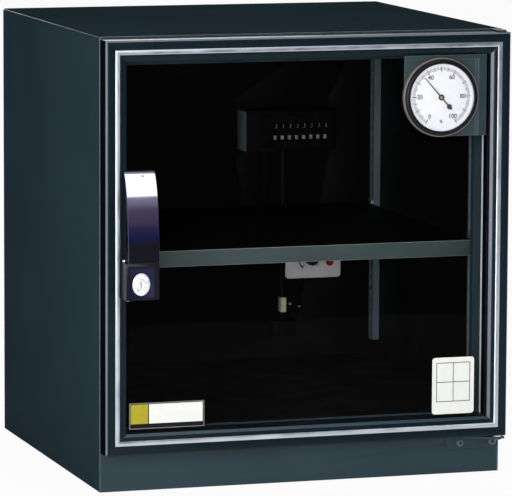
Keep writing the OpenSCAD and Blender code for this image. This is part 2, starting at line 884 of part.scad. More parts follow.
module dryer_housing() {
    color("black") difference() {
        union() {
            difference() {
                span([dryer_x - dryer_w / 2, dryer_x + dryer_w / 2], [dryer_y, inner_back_y],
                     [dryer_z, dryer_z + dryer_h]);
                span([dryer_x - dryer_w / 2 + dryer_wall, dryer_x + dryer_w / 2 - dryer_wall],
                     [dryer_y + dryer_wall, inner_back_y + over],
                     [dryer_z + dryer_wall, dryer_z + dryer_h - dryer_wall]);
            }
            for (p = dryer_screw_places())
                bar_y(dryer_boss_r, p[0], [dryer_y + dryer_wall, inner_back_y - dryer_base_t], p[1]);
            for (share = [vent_low_share, vent_high_share])
                for (i = [0:vent_count - 1])
                    span([vent_x(i) - vent_w / 2, vent_x(i) + vent_w / 2], [dryer_y - hood_d, dryer_y],
                         [dryer_z + share * dryer_h + vent_h / 2,
                          dryer_z + share * dryer_h + vent_h / 2 + hood_h]);
            for (z = [shutter_z0 - shutter_rail, shutter_z1])
                span([shutter_x0 - shutter_travel, shutter_x1 + shutter_travel],
                     [dryer_y + dryer_wall, dryer_y + dryer_wall + shutter_play + shutter_t],
                     [z, z + shutter_rail]);
        }
        for (share = [vent_low_share, vent_high_share])
            for (i = [0:vent_count - 1])
                span([vent_x(i) - vent_w / 2, vent_x(i) + vent_w / 2],
                     [dryer_y - over, dryer_y + dryer_wall + over],
                     [dryer_z + share * dryer_h - vent_h / 2, dryer_z + share * dryer_h + vent_h / 2]);
        for (p = dryer_screw_places())
            bar_y(dryer_screw_r, p[0], [dryer_y - over, inner_back_y + over], p[1]);
    }
}

function vent_x(i) = dryer_x + vent_shift + (i - (vent_count - 1) / 2) * vent_pitch;

module dryer_base() {
    color("dimgray") difference() {
        span([dryer_x - dryer_w / 2 + dryer_wall, dryer_x + dryer_w / 2 - dryer_wall],
             [inner_back_y - dryer_base_t, inner_back_y],
             [dryer_z + dryer_wall, dryer_z + dryer_h - dryer_wall]);
        bar_y(dryer_hole_r, dryer_x, [inner_back_y - dryer_base_t - over, inner_back_y + over], cover_z);
        for (p = dryer_screw_places())
            bar_y(dryer_screw_r, p[0], [inner_back_y - dryer_base_t - over, inner_back_y + over], p[1]);
    }
}

cartridge_x0 = dryer_x - dryer_w / 2 + dryer_wall + heater_gap;
cartridge_y1 = inner_back_y - dryer_base_t;
cartridge_z0 = dryer_z + dryer_h / 2 - cartridge_h / 2;

module desiccant_cartridge() {
    color("white") difference() {
        span([cartridge_x0, cartridge_x0 + cartridge_w], [cartridge_y1 - cartridge_d, cartridge_y1],
             [cartridge_z0, cartridge_z0 + cartridge_h]);
        for (i = [1:5])
            span([cartridge_x0 + i * cartridge_w / 6 - vent_w / 2,
                  cartridge_x0 + i * cartridge_w / 6 + vent_w / 2],
                 [cartridge_y1 - cartridge_d - over, cartridge_y1 - cartridge_d + over],
                 [cartridge_z0 + cartridge_h / 4, cartridge_z0 + 3 * cartridge_h / 4]);
    }
}

module dryer_heater() {
    x0 = cartridge_x0 + cartridge_w + heater_gap;
    y0 = cartridge_y1 - cartridge_d;
    color("silver") {
        span([x0, x0 + heater_w], [cartridge_y1 - heater_core_t, cartridge_y1],
             [cartridge_z0, cartridge_z0 + cartridge_h]);
        for (i = [0:heater_fins - 1])
            span([x0 + i * (heater_w - heater_fin_t) / (heater_fins - 1),
                  x0 + i * (heater_w - heater_fin_t) / (heater_fins - 1) + heater_fin_t],
                 [y0, cartridge_y1 - heater_core_t], [cartridge_z0, cartridge_z0 + cartridge_h]);
    }
}

shutter_z0 = dryer_z + vent_low_share * dryer_h - vent_h / 2 - shutter_lap;
shutter_z1 = dryer_z + vent_high_share * dryer_h + vent_h / 2 + shutter_lap;
shutter_x0 = vent_x(0) - vent_pitch / 2;
shutter_x1 = vent_x(vent_count - 1) + vent_pitch / 2;
shutter_y0 = dryer_y + dryer_wall + shutter_play;
actuator_y = shutter_y0 + shutter_t + actuator_r + shutter_play;
actuator_z = (shutter_z0 + shutter_z1) / 2 + vent_h;
actuator_x0 = dryer_x - dryer_w / 2 + dryer_wall;
actuator_x1 = actuator_x0 + actuator_len;

// Plate that slides behind the vents, with the rod that moves it
module shutter_plate() {
    color("gainsboro") {
        difference() {
            span([shutter_x0, shutter_x1], [shutter_y0, shutter_y0 + shutter_t],
                 [shutter_z0 + notch_play, shutter_z1 - notch_play]);
            for (share = [vent_low_share, vent_high_share])
                for (i = [0:vent_count - 1])
                    span([vent_x(i) - vent_w / 2, vent_x(i) + vent_w / 2],
                         [shutter_y0 - over, shutter_y0 + shutter_t + over],
                         [dryer_z + share * dryer_h - vent_h / 2,
                          dryer_z + share * dryer_h + vent_h / 2]);
        }
        span([shutter_x0, shutter_x0 + 2 * shutter_t],
             [shutter_y0 + shutter_t, actuator_y + actuator_rod_r],
             [actuator_z - actuator_rod_r, actuator_z + actuator_rod_r]);
        translate([actuator_x1 - actuator_rod_in, actuator_y, actuator_z]) rotate([0, 90, 0])
            cylinder(r = actuator_rod_r, h = shutter_x0 - actuator_x1 + actuator_rod_in);
    }
}

// Memory-metal actuator that pushes the shutter rod
module shutter_actuator() {
    color("goldenrod") difference() {
        translate([actuator_x0, actuator_y, actuator_z]) rotate([0, 90, 0])
            cylinder(r = actuator_r, h = actuator_len);
        translate([actuator_x0 + actuator_wall, actuator_y, actuator_z]) rotate([0, 90, 0])
            cylinder(r = actuator_rod_r + actuator_fit, h = actuator_len);
    }
}

module dryer_screws() {
    color("silver")
        for (p = dryer_screw_places()) {
            cross_head(dryer_head_r, dryer_head_t, p[0], dryer_y, p[1]);
            bar_y(dryer_screw_r, p[0], [dryer_y, back_y + dryer_screw_end], p[1]);
        }
}

// Control unit on the back panel

module control_outline(inset) {
    translate([control_x, control_z + control_h / 2])
        rounded(control_w - 2 * inset, control_h - 2 * inset, max(control_r - inset, control_wall / 3));
}

module control_box() {
    color("black") difference() {
        upright([control_y + control_t, inner_back_y]) control_outline(control_step);
        upright([control_y + control_t - over, inner_back_y - control_wall])
            control_outline(control_step + control_wall);
    }
}

module control_plate() {
    color("white") difference() {
        upright([control_y, control_y + control_t]) control_outline(0);
        bar_y(knob_shaft_r + knob_fit, knob_x, [control_y - over, control_y + control_t + over], knob_z);
        bar_y(lamp_r, lamp_x, [control_y - over, control_y + control_t + over], lamp_z);
    }
}

module humidistat() {
    color("dimgray") difference() {
        bar_y(humidistat_r, knob_x, [control_y + control_t, control_y + control_t + humidistat_t], knob_z);
        bar_y(knob_shaft_r + knob_fit, knob_x,
              [control_y + control_t - over, control_y + control_t + knob_shaft_in + over], knob_z);
    }
}

module humidity_knob() {
    y1 = control_y - knob_lift;
    color("black") {
        difference() {
            union() {
                bar_y(knob_r, knob_x, [y1 - 0.8 * knob_h, y1], knob_z);
                cone_y(0.86 * knob_r, knob_r, knob_x, [y1 - knob_h, y1 - 0.8 * knob_h], knob_z);
            }
            for (i = [0:knob_flutes - 1])
                bar_y(knob_flute_r, knob_x + knob_r * cos(i * 360 / knob_flutes),
                      [y1 - knob_h - over, y1 - knob_h / 6],
                      knob_z + knob_r * sin(i * 360 / knob_flutes));
            span([knob_x - knob_flute_r, knob_x + knob_flute_r],
                 [y1 - knob_h - over, y1 - knob_h + knob_flute_r], [knob_z, knob_z + knob_r + over]);
        }
        bar_y(knob_shaft_r, knob_x, [y1, control_y + control_t + knob_shaft_in], knob_z);
    }
}

module power_lamp() {
    color("red") {
        bar_y(lamp_flange_r, lamp_x, [control_y - lamp_flange_t, control_y], lamp_z);
        bar_y(lamp_r, lamp_x, [control_y, control_y + lamp_in], lamp_z);
        intersection() {
            translate([lamp_x, control_y - lamp_flange_t, lamp_z]) sphere(lamp_r);
            span([lamp_x - lamp_flange_r, lamp_x + lamp_flange_r],
                 [control_y - 2 * lamp_flange_r, control_y - lamp_flange_t],
                 [lamp_z - lamp_flange_r, lamp_z + lamp_flange_r]);
        }
    }
}

// Supply lead along the back panel, from the mains inlet to the dryer
module inner_lead() {
    color("black") bar_z(lead_r, inlet_x, lead_y, [inlet_z + inlet_body_h / 2, dryer_z]);
}

module lead_clip() {
    color("ivory") difference() {
        span([inlet_x - lead_clip_w / 2, inlet_x + lead_clip_w / 2],
             [inner_back_y - lead_clip_d, inner_back_y - clip_plate_t],
             [lead_clip_z - lead_clip_h / 2, lead_clip_z + lead_clip_h / 2]);
        bar_z(lead_r, inlet_x, lead_y,
              [lead_clip_z - lead_clip_h / 2 - over, lead_clip_z + lead_clip_h / 2 + over]);
    }
}

function clip_screw_places() = [
    for (share = clip_screw_shares)
        [inlet_x - lead_clip_w / 2 + share[0] * clip_plate_w,
         lead_clip_z - clip_plate_h / 2 + share[1] * clip_plate_h]
];

module clip_plate() {
    color("black") difference() {
        span([inlet_x - lead_clip_w / 2, inlet_x - lead_clip_w / 2 + clip_plate_w],
             [inner_back_y - clip_plate_t, inner_back_y],
             [lead_clip_z - clip_plate_h / 2, lead_clip_z + clip_plate_h / 2]);
        for (p = clip_screw_places())
            bar_y(clip_screw_r, p[0], [inner_back_y - clip_plate_t - over, inner_back_y + over], p[1]);
    }
}

module clip_screws() {
    color("silver")
        for (p = clip_screw_places()) {
            cross_head(clip_head_r, clip_head_t, p[0], inner_back_y - clip_plate_t, p[1]);
            bar_y(clip_screw_r, p[0], [inner_back_y - clip_plate_t, back_y], p[1]);
        }
}

// Rear

function cover_screw_places() = [
    for (sx = [-1, 1])
        for (sz = [-1, 1])
            [dryer_x + sx * (cover_w / 2 - cover_flange / 2), cover_z + sz * (cover_h / 2 - cover_flange / 2)]
];
function inlet_screw_places() = [for (sx = [-1, 1]) [inlet_x + sx * inlet_screw_half, inlet_z]];
function rear_screw_places() = concat(cover_screw_places(), inlet_screw_places());

module rear_vent_cover() {
    color("black") difference() {
        union() {
            span([dryer_x - cover_w / 2, dryer_x + cover_w / 2], [back_y, back_y + cover_t],
                 [cover_z - cover_h / 2, cover_z + cover_h / 2]);
            span([dryer_x - cover_w / 2 + cover_flange, dryer_x + cover_w / 2 - cover_flange],
                 [back_y, back_y + cover_d],
                 [cover_z - cover_h / 2 + cover_t, cover_z + cover_h / 2 - cover_t]);
        }
        span([dryer_x - cover_w / 2 + cover_flange + cover_t, dryer_x + cover_w / 2 - cover_flange - cover_t],
             [back_y - over, back_y + cover_d - cover_t],
             [cover_z - cover_h / 2 + 2 * cover_t, cover_z + cover_h / 2 - 2 * cover_t]);
        for (i = [0:louvre_count - 1])
            span([dryer_x - cover_w / 2 + 2 * cover_flange, dryer_x + cover_w / 2 - 2 * cover_flange],
                 [back_y + cover_d - cover_t - over, back_y + cover_d + over],
                 [louvre_z(i) - louvre_h / 2, louvre_z(i) + louvre_h / 2]);
        for (p = cover_screw_places())
            bar_y(rear_screw_r, p[0], [back_y - over, back_y + cover_t + over], p[1]);
    }
}

function louvre_z(i) = cover_z + (i - (louvre_count - 1) / 2) * (cover_h - 4 * cover_t) / louvre_count;

module mains_inlet() {
    color("black") difference() {
        union() {
            upright([back_y, back_y + inlet_t]) translate([inlet_x, inlet_z])
                rounded(inlet_w, inlet_h, inlet_t);
            span([inlet_x - inlet_body_w / 2, inlet_x + inlet_body_w / 2],
                 [back_y - inlet_body_d, back_y],
                 [inlet_z - inlet_body_h / 2, inlet_z + inlet_body_h / 2]);
        }
        upright([back_y + inlet_t - socket_d, back_y + inlet_t + over]) translate([inlet_x, inlet_z]) {
            square([2 * socket_half, 2 * socket_r], center = true);
            for (s = [-1, 1])
                translate([s * socket_half, 0]) circle(socket_r);
        }
        for (p = inlet_screw_places())
            bar_y(rear_screw_r, p[0], [back_y - over, back_y + inlet_t + over], p[1]);
    }
}

module inlet_pins() {
    color("gold")
        for (s = [-1, 1])
            bar_y(contact_r, inlet_x + s * contact_half,
                  [back_y + inlet_t - socket_d, back_y + inlet_t - socket_d + contact_len], inlet_z);
}

// Pan-head screw driven in from behind
module rear_screw(p, face_y) {
    mirror([0, 1, 0]) cross_head(rear_head_r, rear_head_t, p[0], -face_y, p[1]);
    bar_y(rear_screw_r, p[0], [inner_back_y, face_y], p[1]);
}

module rear_screws() {
    color("silver") {
        for (p = cover_screw_places())
            rear_screw(p, back_y + cover_t);
        for (p = inlet_screw_places())
            rear_screw(p, back_y + inlet_t);
    }
}

// Door frame

module left_stile() {
    color("darkslategray") door_left() frame_section();
}

module right_stile() {
    color("darkslategray") door_right() frame_section();
}

module top_rail() {
    color("darkslategray") difference() {
        door_top() frame_section();
        bar_z(bush_r, pin_x, pin_y, [door_z1 - bush_len, door_z1 + over]);
    }
}

module bottom_rail() {
    color("darkslategray") difference() {
        door_bottom() frame_section();
        bar_z(bush_r, pin_x, pin_y, [door_z0 - over, door_z0 + bush_len]);
    }
}

module bead() {
    color("silver") door_ring() bead_section();
}

// L-shaped key in the hollow of the lower left corner
module corner_key() {
    translate([-body_w / 2, door_y, door_z0]) {
        span([chamber_u0, chamber_u1], [chamber_v0, chamber_v1], [chamber_u0, key_len]);
        span([chamber_u0, key_len], [chamber_v0, chamber_v1], [chamber_u0, chamber_u1]);
    }
}

module corner_keys() {
    color("gray") difference() {
        for (side = [0, 1])
            mirror([side, 0, 0]) {
                corner_key();
                translate([0, 0, door_z0 + door_z1]) mirror([0, 0, 1]) corner_key();
            }
        bar_z(bush_r, pin_x, pin_y, [door_z0, door_z0 + bush_len]);
        bar_z(bush_r, pin_x, pin_y, [door_z1 - bush_len, door_z1]);
    }
}

module pivot_bushes() {
    color("ivory") difference() {
        union() {
            bar_z(bush_r, pin_x, pin_y, [door_z0 - washer_t, door_z0 + bush_len]);
            bar_z(washer_r, pin_x, pin_y, [door_z0 - washer_t, door_z0]);
            bar_z(bush_r, pin_x, pin_y, [door_z1 - bush_len, door_z1]);
        }
        bar_z(pin_r + pin_clear, pin_x, pin_y, [door_z0 - washer_t - over, door_z1 + over]);
    }
}

module glass_pane() {
    edge = groove_u0 + rim_t;
    color("lightblue", 0.3) difference() {
        span([edge - body_w / 2, body_w / 2 - edge], [glass_y0, glass_y1],
             [door_z0 + edge, door_z1 - edge]);
        bar_y(barrel_r, lock_x, [glass_y0 - over, glass_y1 + over], lock_z);
        bar_y(case_r + case_play, hygro_x, [glass_y0 - over, glass_y1 + over], hygro_z);
        bar_y(handle_screw_r, bow_screw_x, [glass_y0 - over, glass_y1 + over], bow_screw_z);
        bar_y(handle_screw_r, housing_screw_x, [glass_y0 - over, glass_y1 + over], housing_screw_z);
    }
}

module glazing_gasket() {
    color("black") door_ring() gasket_section();
}

module door_seal() {
    color("gray") door_ring() seal_section();
}

// Handle and lock

// Cuts the back of the handle away where it hangs over the door frame
module over_frame() {
    span([housing_x0 - over, frame_w + frame_stand_off - body_w / 2],
         [door_y - frame_stand_off, glass_y0 + over], [lock_z0 - over, bow_z1 + over]);
}

module handle_bow() {
    color("midnightblue") difference() {
        translate([handle_x0, glass_y0, lock_z1]) rotate([90, 0, 90]) linear_extrude(handle_w)
            polygon(concat(
                [for (a = [0:6:90]) [-handle_d * cos(a), bow_h * sin(a)]],
                [for (a = [90:-6:0]) [-(handle_d - bow_t) * cos(a), (bow_h - bow_foot_h) * sin(a)]]
            ));
        over_frame();
        bar_y(handle_screw_r, bow_screw_x, [glass_y0 - handle_screw_in, glass_y0 + over], bow_screw_z);
    }
}

module lock_housing() {
    color("midnightblue") difference() {
        union() {
            difference() {
                span([housing_x0, handle_x1], [handle_y, glass_y0], [lock_z0, lock_z1]);
                span([housing_x0 + housing_border, recess_x1], [handle_y - over, handle_y + housing_recess],
                     [recess_z0, recess_z1]);
                span([housing_x0 + housing_t, handle_x1 - housing_t],
                     [handle_y + housing_recess + housing_t, glass_y0 + over],
                     [lock_z0 + housing_t, lock_z1 - housing_t]);
            }
            bar_y(lock_boss_r, lock_x, [handle_y + housing_recess + housing_t / 2, glass_y0], lock_z);
            bar_y(boss_r, housing_screw_x, [handle_y + housing_recess + housing_t / 2, glass_y0],
                  housing_screw_z);
            span([top_screw_x - top_screw_r, top_screw_x + top_screw_r],
                 [top_screw_y - top_screw_r, top_screw_y + top_screw_r],
                 [lock_z1 - housing_t - 2 * top_screw_h, lock_z1 - housing_t]);
        }
        over_frame();
        bar_y(barrel_r, lock_x, [handle_y - over, glass_y0 + over], lock_z);
        bar_y(handle_screw_r, housing_screw_x, [glass_y0 - handle_screw_in, glass_y0 + over],
              housing_screw_z);
    }
}

// Flat oval outline of the lock face
module lock_oval(inset) {
    translate([lock_x, lock_z]) scale([lock_face_w / lock_face_h, 1]) circle(lock_face_h / 2 - inset);
}

module lock_barrel() {
    face_y = handle_y + housing_recess - face_t;
    color("silver") {
        difference() {
            union() {
                upright([face_y + face_t / 3, face_y + face_t]) lock_oval(0);
                upright([face_y, face_y + face_t / 3]) lock_oval(face_t / 3);
                bar_y(barrel_r, lock_x, [face_y + face_t, glass_y1 + nut_t + barrel_end], lock_z);
                translate([lock_x, glass_y1 + nut_t, lock_z]) rotate([90, 0, 0])
                    cylinder(r = nut_r, h = nut_t, $fn = 6);
            }
            bar_y(plug_r + plug_clear, lock_x, [face_y - over, glass_y1 + nut_t + barrel_end + over], lock_z);
        }
    }
}

module lock_plug() {
    face_y = handle_y + housing_recess - face_t;
    end_y = glass_y1 + nut_t + barrel_end;
    color("gainsboro") difference() {
        union() {
            bar_y(plug_r, lock_x, [face_y - face_t / 6, end_y], lock_z);
            bar_y(spindle_r, lock_x, [end_y, cam_y], lock_z);
        }
        span([lock_x - keyway_w / 2, lock_x + keyway_w / 2],
             [face_y - face_t, face_y + keyway_d], [lock_z - keyway_h / 2, lock_z + keyway_h / 2]);
        bar_y(keyway_w, lock_x, [face_y - face_t, face_y + keyway_d / 4], lock_z + keyway_h / 4);
    }
}

// Cam that hangs down when unlocked and turns behind the left jamb to lock
module lock_cam() {
    color("silver") {
        upright([cam_y, cam_y + cam_t]) {
            translate([lock_x, lock_z]) circle(cam_half);
            translate([lock_x, lock_z - cam_len]) circle(cam_half);
            translate([lock_x - cam_half, lock_z - cam_len]) square([2 * cam_half, cam_len]);
        }
        bar_y(cam_head_r, lock_x, [cam_y + cam_t, cam_y + cam_t + cam_head_t], lock_z);
    }
}

module handle_fixings() {
    color("silver") {
        for (p = [[bow_screw_x, bow_screw_z], [housing_screw_x, housing_screw_z]]) {
            mirror([0, 1, 0]) cross_head(handle_screw_head_r, handle_screw_head_t, p[0], -glass_y1, p[1]);
            bar_y(handle_screw_r, p[0], [glass_y0 - handle_screw_in, glass_y1], p[1]);
        }
        bar_z(top_screw_r, top_screw_x, top_screw_y, [lock_z1, lock_z1 + top_screw_h]);
    }
}

// Hygrometer

module hygrometer_plate() {
    x0 = hygro_x - plate_left;
    x1 = body_w / 2 - frame_w - plate_inset;
    z0 = hygro_z - bezel_r;
    z1 = door_z1 - frame_w - plate_gap;
    color("slategray") {
        difference() {
            upright([hygro_y, glass_y0]) {
                translate([hygro_x, hygro_z]) circle(bezel_r);
                translate([x0, hygro_z]) square([x1 - x0, z1 - hygro_z]);
                translate([hygro_x, z0]) square([x1 - hygro_x, z1 - z0]);
            }
            bar_y(case_r, hygro_x, [hygro_y - over, glass_y0 + over], hygro_z);
        }
        difference() {
            union() {
                span([x0, x1 - strip_end], [hygro_y - strip_t, hygro_y], [z1 - strip_h, z1]);
                for (i = [0, 1])
                    span([x1 - ridge_inset - (2 * i + 1) * ridge_w, x1 - ridge_inset - 2 * i * ridge_w],
                         [hygro_y - ridge_h, hygro_y], [z0, z1 - strip_h]);
            }
            bar_y(bezel_r + plate_gap, hygro_x, [hygro_y - strip_t - over, hygro_y + over], hygro_z);
        }
    }
}

module hygrometer_case() {
    color("black") difference() {
        union() {
            bar_y(lens_r, hygro_x, [hygro_y - case_flange_t, hygro_y], hygro_z);
            bar_y(case_r, hygro_x, [hygro_y, hygro_y + case_back], hygro_z);
        }
        bar_y(case_r - case_t, hygro_x, [hygro_y - case_flange_t - over, hygro_y + case_back - case_t], hygro_z);
        for (i = [-2:2])
            span([hygro_x - case_r / 2, hygro_x + case_r / 2],
                 [hygro_y + case_back - case_t - over, hygro_y + case_back + over],
                 [hygro_z + i * 4 * case_t - case_t / 2 + 2 * case_t,
                  hygro_z + i * 4 * case_t + case_t / 2 + 2 * case_t]);
    }
    color("black") difference() {
        bar_y(needle_boss_r, hygro_x, [hygro_y + case_back - case_t - needle_boss_h, hygro_y + case_back],
              hygro_z);
        bar_y(needle_axle_r + needle_fit, hygro_x,
              [hygro_y + case_back - case_t - needle_boss_h - over, hygro_y + case_back - case_t], hygro_z);
    }
    color("white") difference() {
        bar_y(lens_r, hygro_x, [hygro_y - case_flange_t - dial_t, hygro_y - case_flange_t], hygro_z);
        bar_y(needle_axle_r + needle_fit, hygro_x,
              [hygro_y - case_flange_t - dial_t - over, hygro_y - case_flange_t + over], hygro_z);
    }
}

// Bezel ring with the clear lens held under its rim
module hygrometer_bezel() {
    lens_y = hygro_y - bezel_h + hygro_rim;
    color("dimgray") {
        difference() {
            union() {
                bar_y(bezel_r, hygro_x, [hygro_y - bezel_h / 2, hygro_y], hygro_z);
                cone_y(bezel_r - hygro_rim, bezel_r, hygro_x,
                       [hygro_y - 0.8 * bezel_h, hygro_y - bezel_h / 2], hygro_z);
                bar_y(bezel_r - 2 * hygro_rim, hygro_x, [hygro_y - bezel_h, hygro_y], hygro_z);
            }
            bar_y(lens_r, hygro_x, [lens_y, hygro_y + over], hygro_z);
            bar_y(dial_r, hygro_x, [hygro_y - bezel_h - over, hygro_y], hygro_z);
        }
        bar_y(lens_r, hygro_x, [lens_y, lens_y + lens_t], hygro_z);
    }
}

// Needle with its counterweight and axle
module hygrometer_needle() {
    y1 = hygro_y - case_flange_t - dial_t - needle_lift;
    y0 = y1 - needle_hub_h;
    mid = (y0 + y1) / 2;
    color("black") translate([hygro_x, 0, hygro_z]) rotate([0, -needle_rest, 0]) {
        bar_y(needle_hub_r, 0, [y0, y1], 0);
        span([-needle_w / 2, needle_w / 2], [mid - needle_t / 2, mid + needle_t / 2],
             [-needle_tail, needle_long]);
        bar_y(needle_blob_r, 0, [mid - needle_t / 2, mid + needle_t / 2], -needle_blob_at);
        bar_y(needle_axle_r, 0, [y1, hygro_y + needle_axle_in], 0);
    }
}

outer_wrap();
back_panel();
left_jamb();
right_jamb();
header();
plinth_panel();
chamber_floor();
base_panel();
rubber_feet();
lower_hinge_bracket();
upper_hinge_bracket();
hinge_pins();
hinge_screws();
lock_keeper();
front_left_post();
front_right_post();
rear_left_post();
rear_right_post();
shelf_clips();
shelf();
dryer_housing();
dryer_base();
desiccant_cartridge();
dryer_heater();
shutter_plate();
shutter_actuator();
dryer_screws();
control_box();
control_plate();
humidistat();
humidity_knob();
power_lamp();
inner_lead();
lead_clip();
clip_plate();
clip_screws();
rear_vent_cover();
mains_inlet();
inlet_pins();
rear_screws();
left_stile();
right_stile();
top_rail();
bottom_rail();
bead();
corner_keys();
pivot_bushes();
glass_pane();
glazing_gasket();
door_seal();
handle_bow();
lock_housing();
lock_barrel();
lock_plug();
lock_cam();
handle_fixings();
hygrometer_plate();
hygrometer_case();
hygrometer_bezel();
hygrometer_needle();
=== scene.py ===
"""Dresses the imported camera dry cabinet: edges, materials, dial print, stickers, camera and light.

Lengths are in metres in the part's own frame: x right, y back, z up from the table.
"""

import json
import math

import bmesh
import bpy
from mathutils import Matrix, Vector


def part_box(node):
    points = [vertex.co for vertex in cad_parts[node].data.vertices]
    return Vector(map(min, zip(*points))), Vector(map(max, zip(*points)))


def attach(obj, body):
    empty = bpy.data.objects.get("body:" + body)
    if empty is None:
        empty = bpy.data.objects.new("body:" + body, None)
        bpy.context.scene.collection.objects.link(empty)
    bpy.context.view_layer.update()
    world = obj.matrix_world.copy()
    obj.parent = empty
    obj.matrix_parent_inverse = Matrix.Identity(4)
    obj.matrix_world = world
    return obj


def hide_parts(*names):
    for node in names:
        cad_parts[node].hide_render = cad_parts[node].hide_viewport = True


MM = 0.001
EDGE_ANGLE = 32  # degrees; sharper edges are broken and shaded as edges
FLAT_ANGLE = 0.3  # degrees; faces that differ by less are made one
WELD = 0.002 * MM  # corners nearer than this are made one
SHEET_T = 1.2 * MM  # thickness of the body's sheet steel

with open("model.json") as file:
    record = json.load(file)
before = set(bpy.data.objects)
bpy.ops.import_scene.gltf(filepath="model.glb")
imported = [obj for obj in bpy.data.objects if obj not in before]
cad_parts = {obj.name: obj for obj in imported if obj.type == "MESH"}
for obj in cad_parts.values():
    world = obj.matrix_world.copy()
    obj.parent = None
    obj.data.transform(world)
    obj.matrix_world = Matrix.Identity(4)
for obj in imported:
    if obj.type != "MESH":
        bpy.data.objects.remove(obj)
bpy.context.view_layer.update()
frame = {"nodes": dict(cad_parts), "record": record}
body_of_node = {
    node: body
    for body, nodes in frame["record"]["behaviour"]["bodies"].items()
    for node in nodes
}


# ---------------------------------------------------------------- materials


def tone(red, green, blue):
    """A colour from its display values, 0 to 255, as linear RGBA."""
    return tuple(
        v / 12.92 if v <= 0.04045 else ((v + 0.055) / 1.055) ** 2.4
        for v in (red / 255, green / 255, blue / 255)
    ) + (1.0,)


def shade(colour, factor):
    return tuple(min(1.0, c * factor) for c in colour[:3]) + (1.0,)


class Paint:
    """A Principled material whose node links are made one by one."""

    def __init__(self, name, colour, roughness, **sockets):
        self.material = bpy.data.materials.new(name)
        self.material.use_nodes = True
        self.tree = self.material.node_tree
        self.shader = self.tree.nodes["Principled BSDF"]
        self.shader.inputs["Base Color"].default_value = colour
        self.shader.inputs["Roughness"].default_value = roughness
        for socket, value in sockets.items():
            self.shader.inputs[socket.replace("_", " ")].default_value = value
        self.colour = colour
        self.height = None

    def node(self, kind, **inputs):
        made = self.tree.nodes.new(kind)
        for socket, value in inputs.items():
            made.inputs[socket].default_value = value
        return made

    def link(self, output, socket):
        self.tree.links.new(output, socket)

    def noise(self, scale, detail=3.0):
        """Noise over the object's own coordinates."""
        noise = self.node("ShaderNodeTexNoise", Scale=scale, Detail=detail)
        self.link(self.node("ShaderNodeTexCoord").outputs["Object"], noise.inputs["Vector"])
        return noise.outputs["Fac"]

    def ranged(self, value, low, high, start=0.3, end=0.7):
        """The value between start and end, spread from low to high."""
        span = self.node("ShaderNodeMapRange")
        for index, limit in enumerate((start, end, low, high), 1):
            span.inputs[index].default_value = limit
        self.link(value, span.inputs[0])
        return span.outputs["Result"]

    def mixed(self, factor, first, second):
        mix = self.node("ShaderNodeMix")
        mix.data_type = "RGBA"
        for socket, value in ((6, first), (7, second)):
            if isinstance(value, tuple):
                mix.inputs[socket].default_value = value
            else:
                self.link(value, mix.inputs[socket])
        self.link(factor, mix.inputs[0])
        return mix.outputs[2]

    def mottle(self, scale, amount):
        """Slight changes of depth in the colour, as in a sprayed or moulded finish."""
        factor = self.ranged(self.noise(scale, 4.0), 0.0, 1.0)
        deep, light = shade(self.colour, 1 - amount), shade(self.colour, 1 + amount)
        self.link(self.mixed(factor, deep, light), self.shader.inputs["Base Color"])
        return self

    def flecks(self, scale, colour, share):
        """Fine specks of another colour over the mottled one."""
        base = self.shader.inputs["Base Color"]
        factor = self.ranged(self.noise(scale, 2.0), 0.0, 1.0, 1 - share, 1 - share + 0.06)
        self.link(self.mixed(factor, base.links[0].from_socket, colour), base)
        return self

    def wear(self, scale, low, high):
        """Roughness that drifts between two values, as handling leaves it."""
        drift = self.ranged(self.noise(scale, 4.0), low, high)
        self.link(drift, self.shader.inputs["Roughness"])
        return self

    def grain(self, scale, depth, detail=3.0):
        """Bumps of a given depth in metres."""
        bump = self.node("ShaderNodeBump", Strength=1.0, Distance=depth)
        self.link(self.noise(scale, detail), bump.inputs["Height"])
        if self.height:
            self.link(self.height, bump.inputs["Normal"])
        self.height = bump.outputs["Normal"]
        self.link(self.height, self.shader.inputs["Normal"])
        return self


def enamel(name, colour, roughness, specular=0.3, orange_peel=0.00002):
    """Sprayed steel: even colour, faint orange peel and a fine tooth."""
    paint = Paint(name, colour, roughness, Specular_IOR_Level=specular)
    paint.mottle(9, 0.10).wear(30, roughness - 0.05, roughness + 0.07)
    paint.grain(420, orange_peel).grain(2600, orange_peel / 4)
    return paint


def smooth_enamel(name, colour, roughness, specular):
    """Sprayed aluminium of the door frame, flatter than the steel."""
    return enamel(name, colour, roughness, specular, orange_peel=0.000004)


def metal(name, colour, roughness, scale, depth=0.000004):
    """Bare or plated metal with a fine grain."""
    made = Paint(name, colour, roughness, Metallic=1.0)
    made.mottle(scale / 6, 0.06).wear(scale / 3, roughness * 0.75, roughness * 1.35)
    made.grain(scale, depth)
    return made


def moulding(name, colour, roughness, specular=0.4, texture=0.00002):
    """Moulded plastic with a fine spark-eroded texture."""
    made = Paint(name, colour, roughness, Specular_IOR_Level=specular)
    made.mottle(60, 0.08).wear(90, roughness - 0.06, roughness + 0.08)
    made.grain(2200, texture, detail=2.0)
    return made


def pane(name, colour, alpha, specular):
    """Clear sheet that lets the lamps through to what is behind it."""
    made = Paint(name, colour, 0.02, Specular_IOR_Level=specular, Alpha=alpha)
    made.wear(12, 0.02, 0.04)
    return made


def flat_colour(name, colour, roughness, scale, amount, specular=0.5):
    """Card or ink with hardly any change of colour."""
    made = Paint(name, colour, roughness, Specular_IOR_Level=specular)
    return made.mottle(scale, amount)


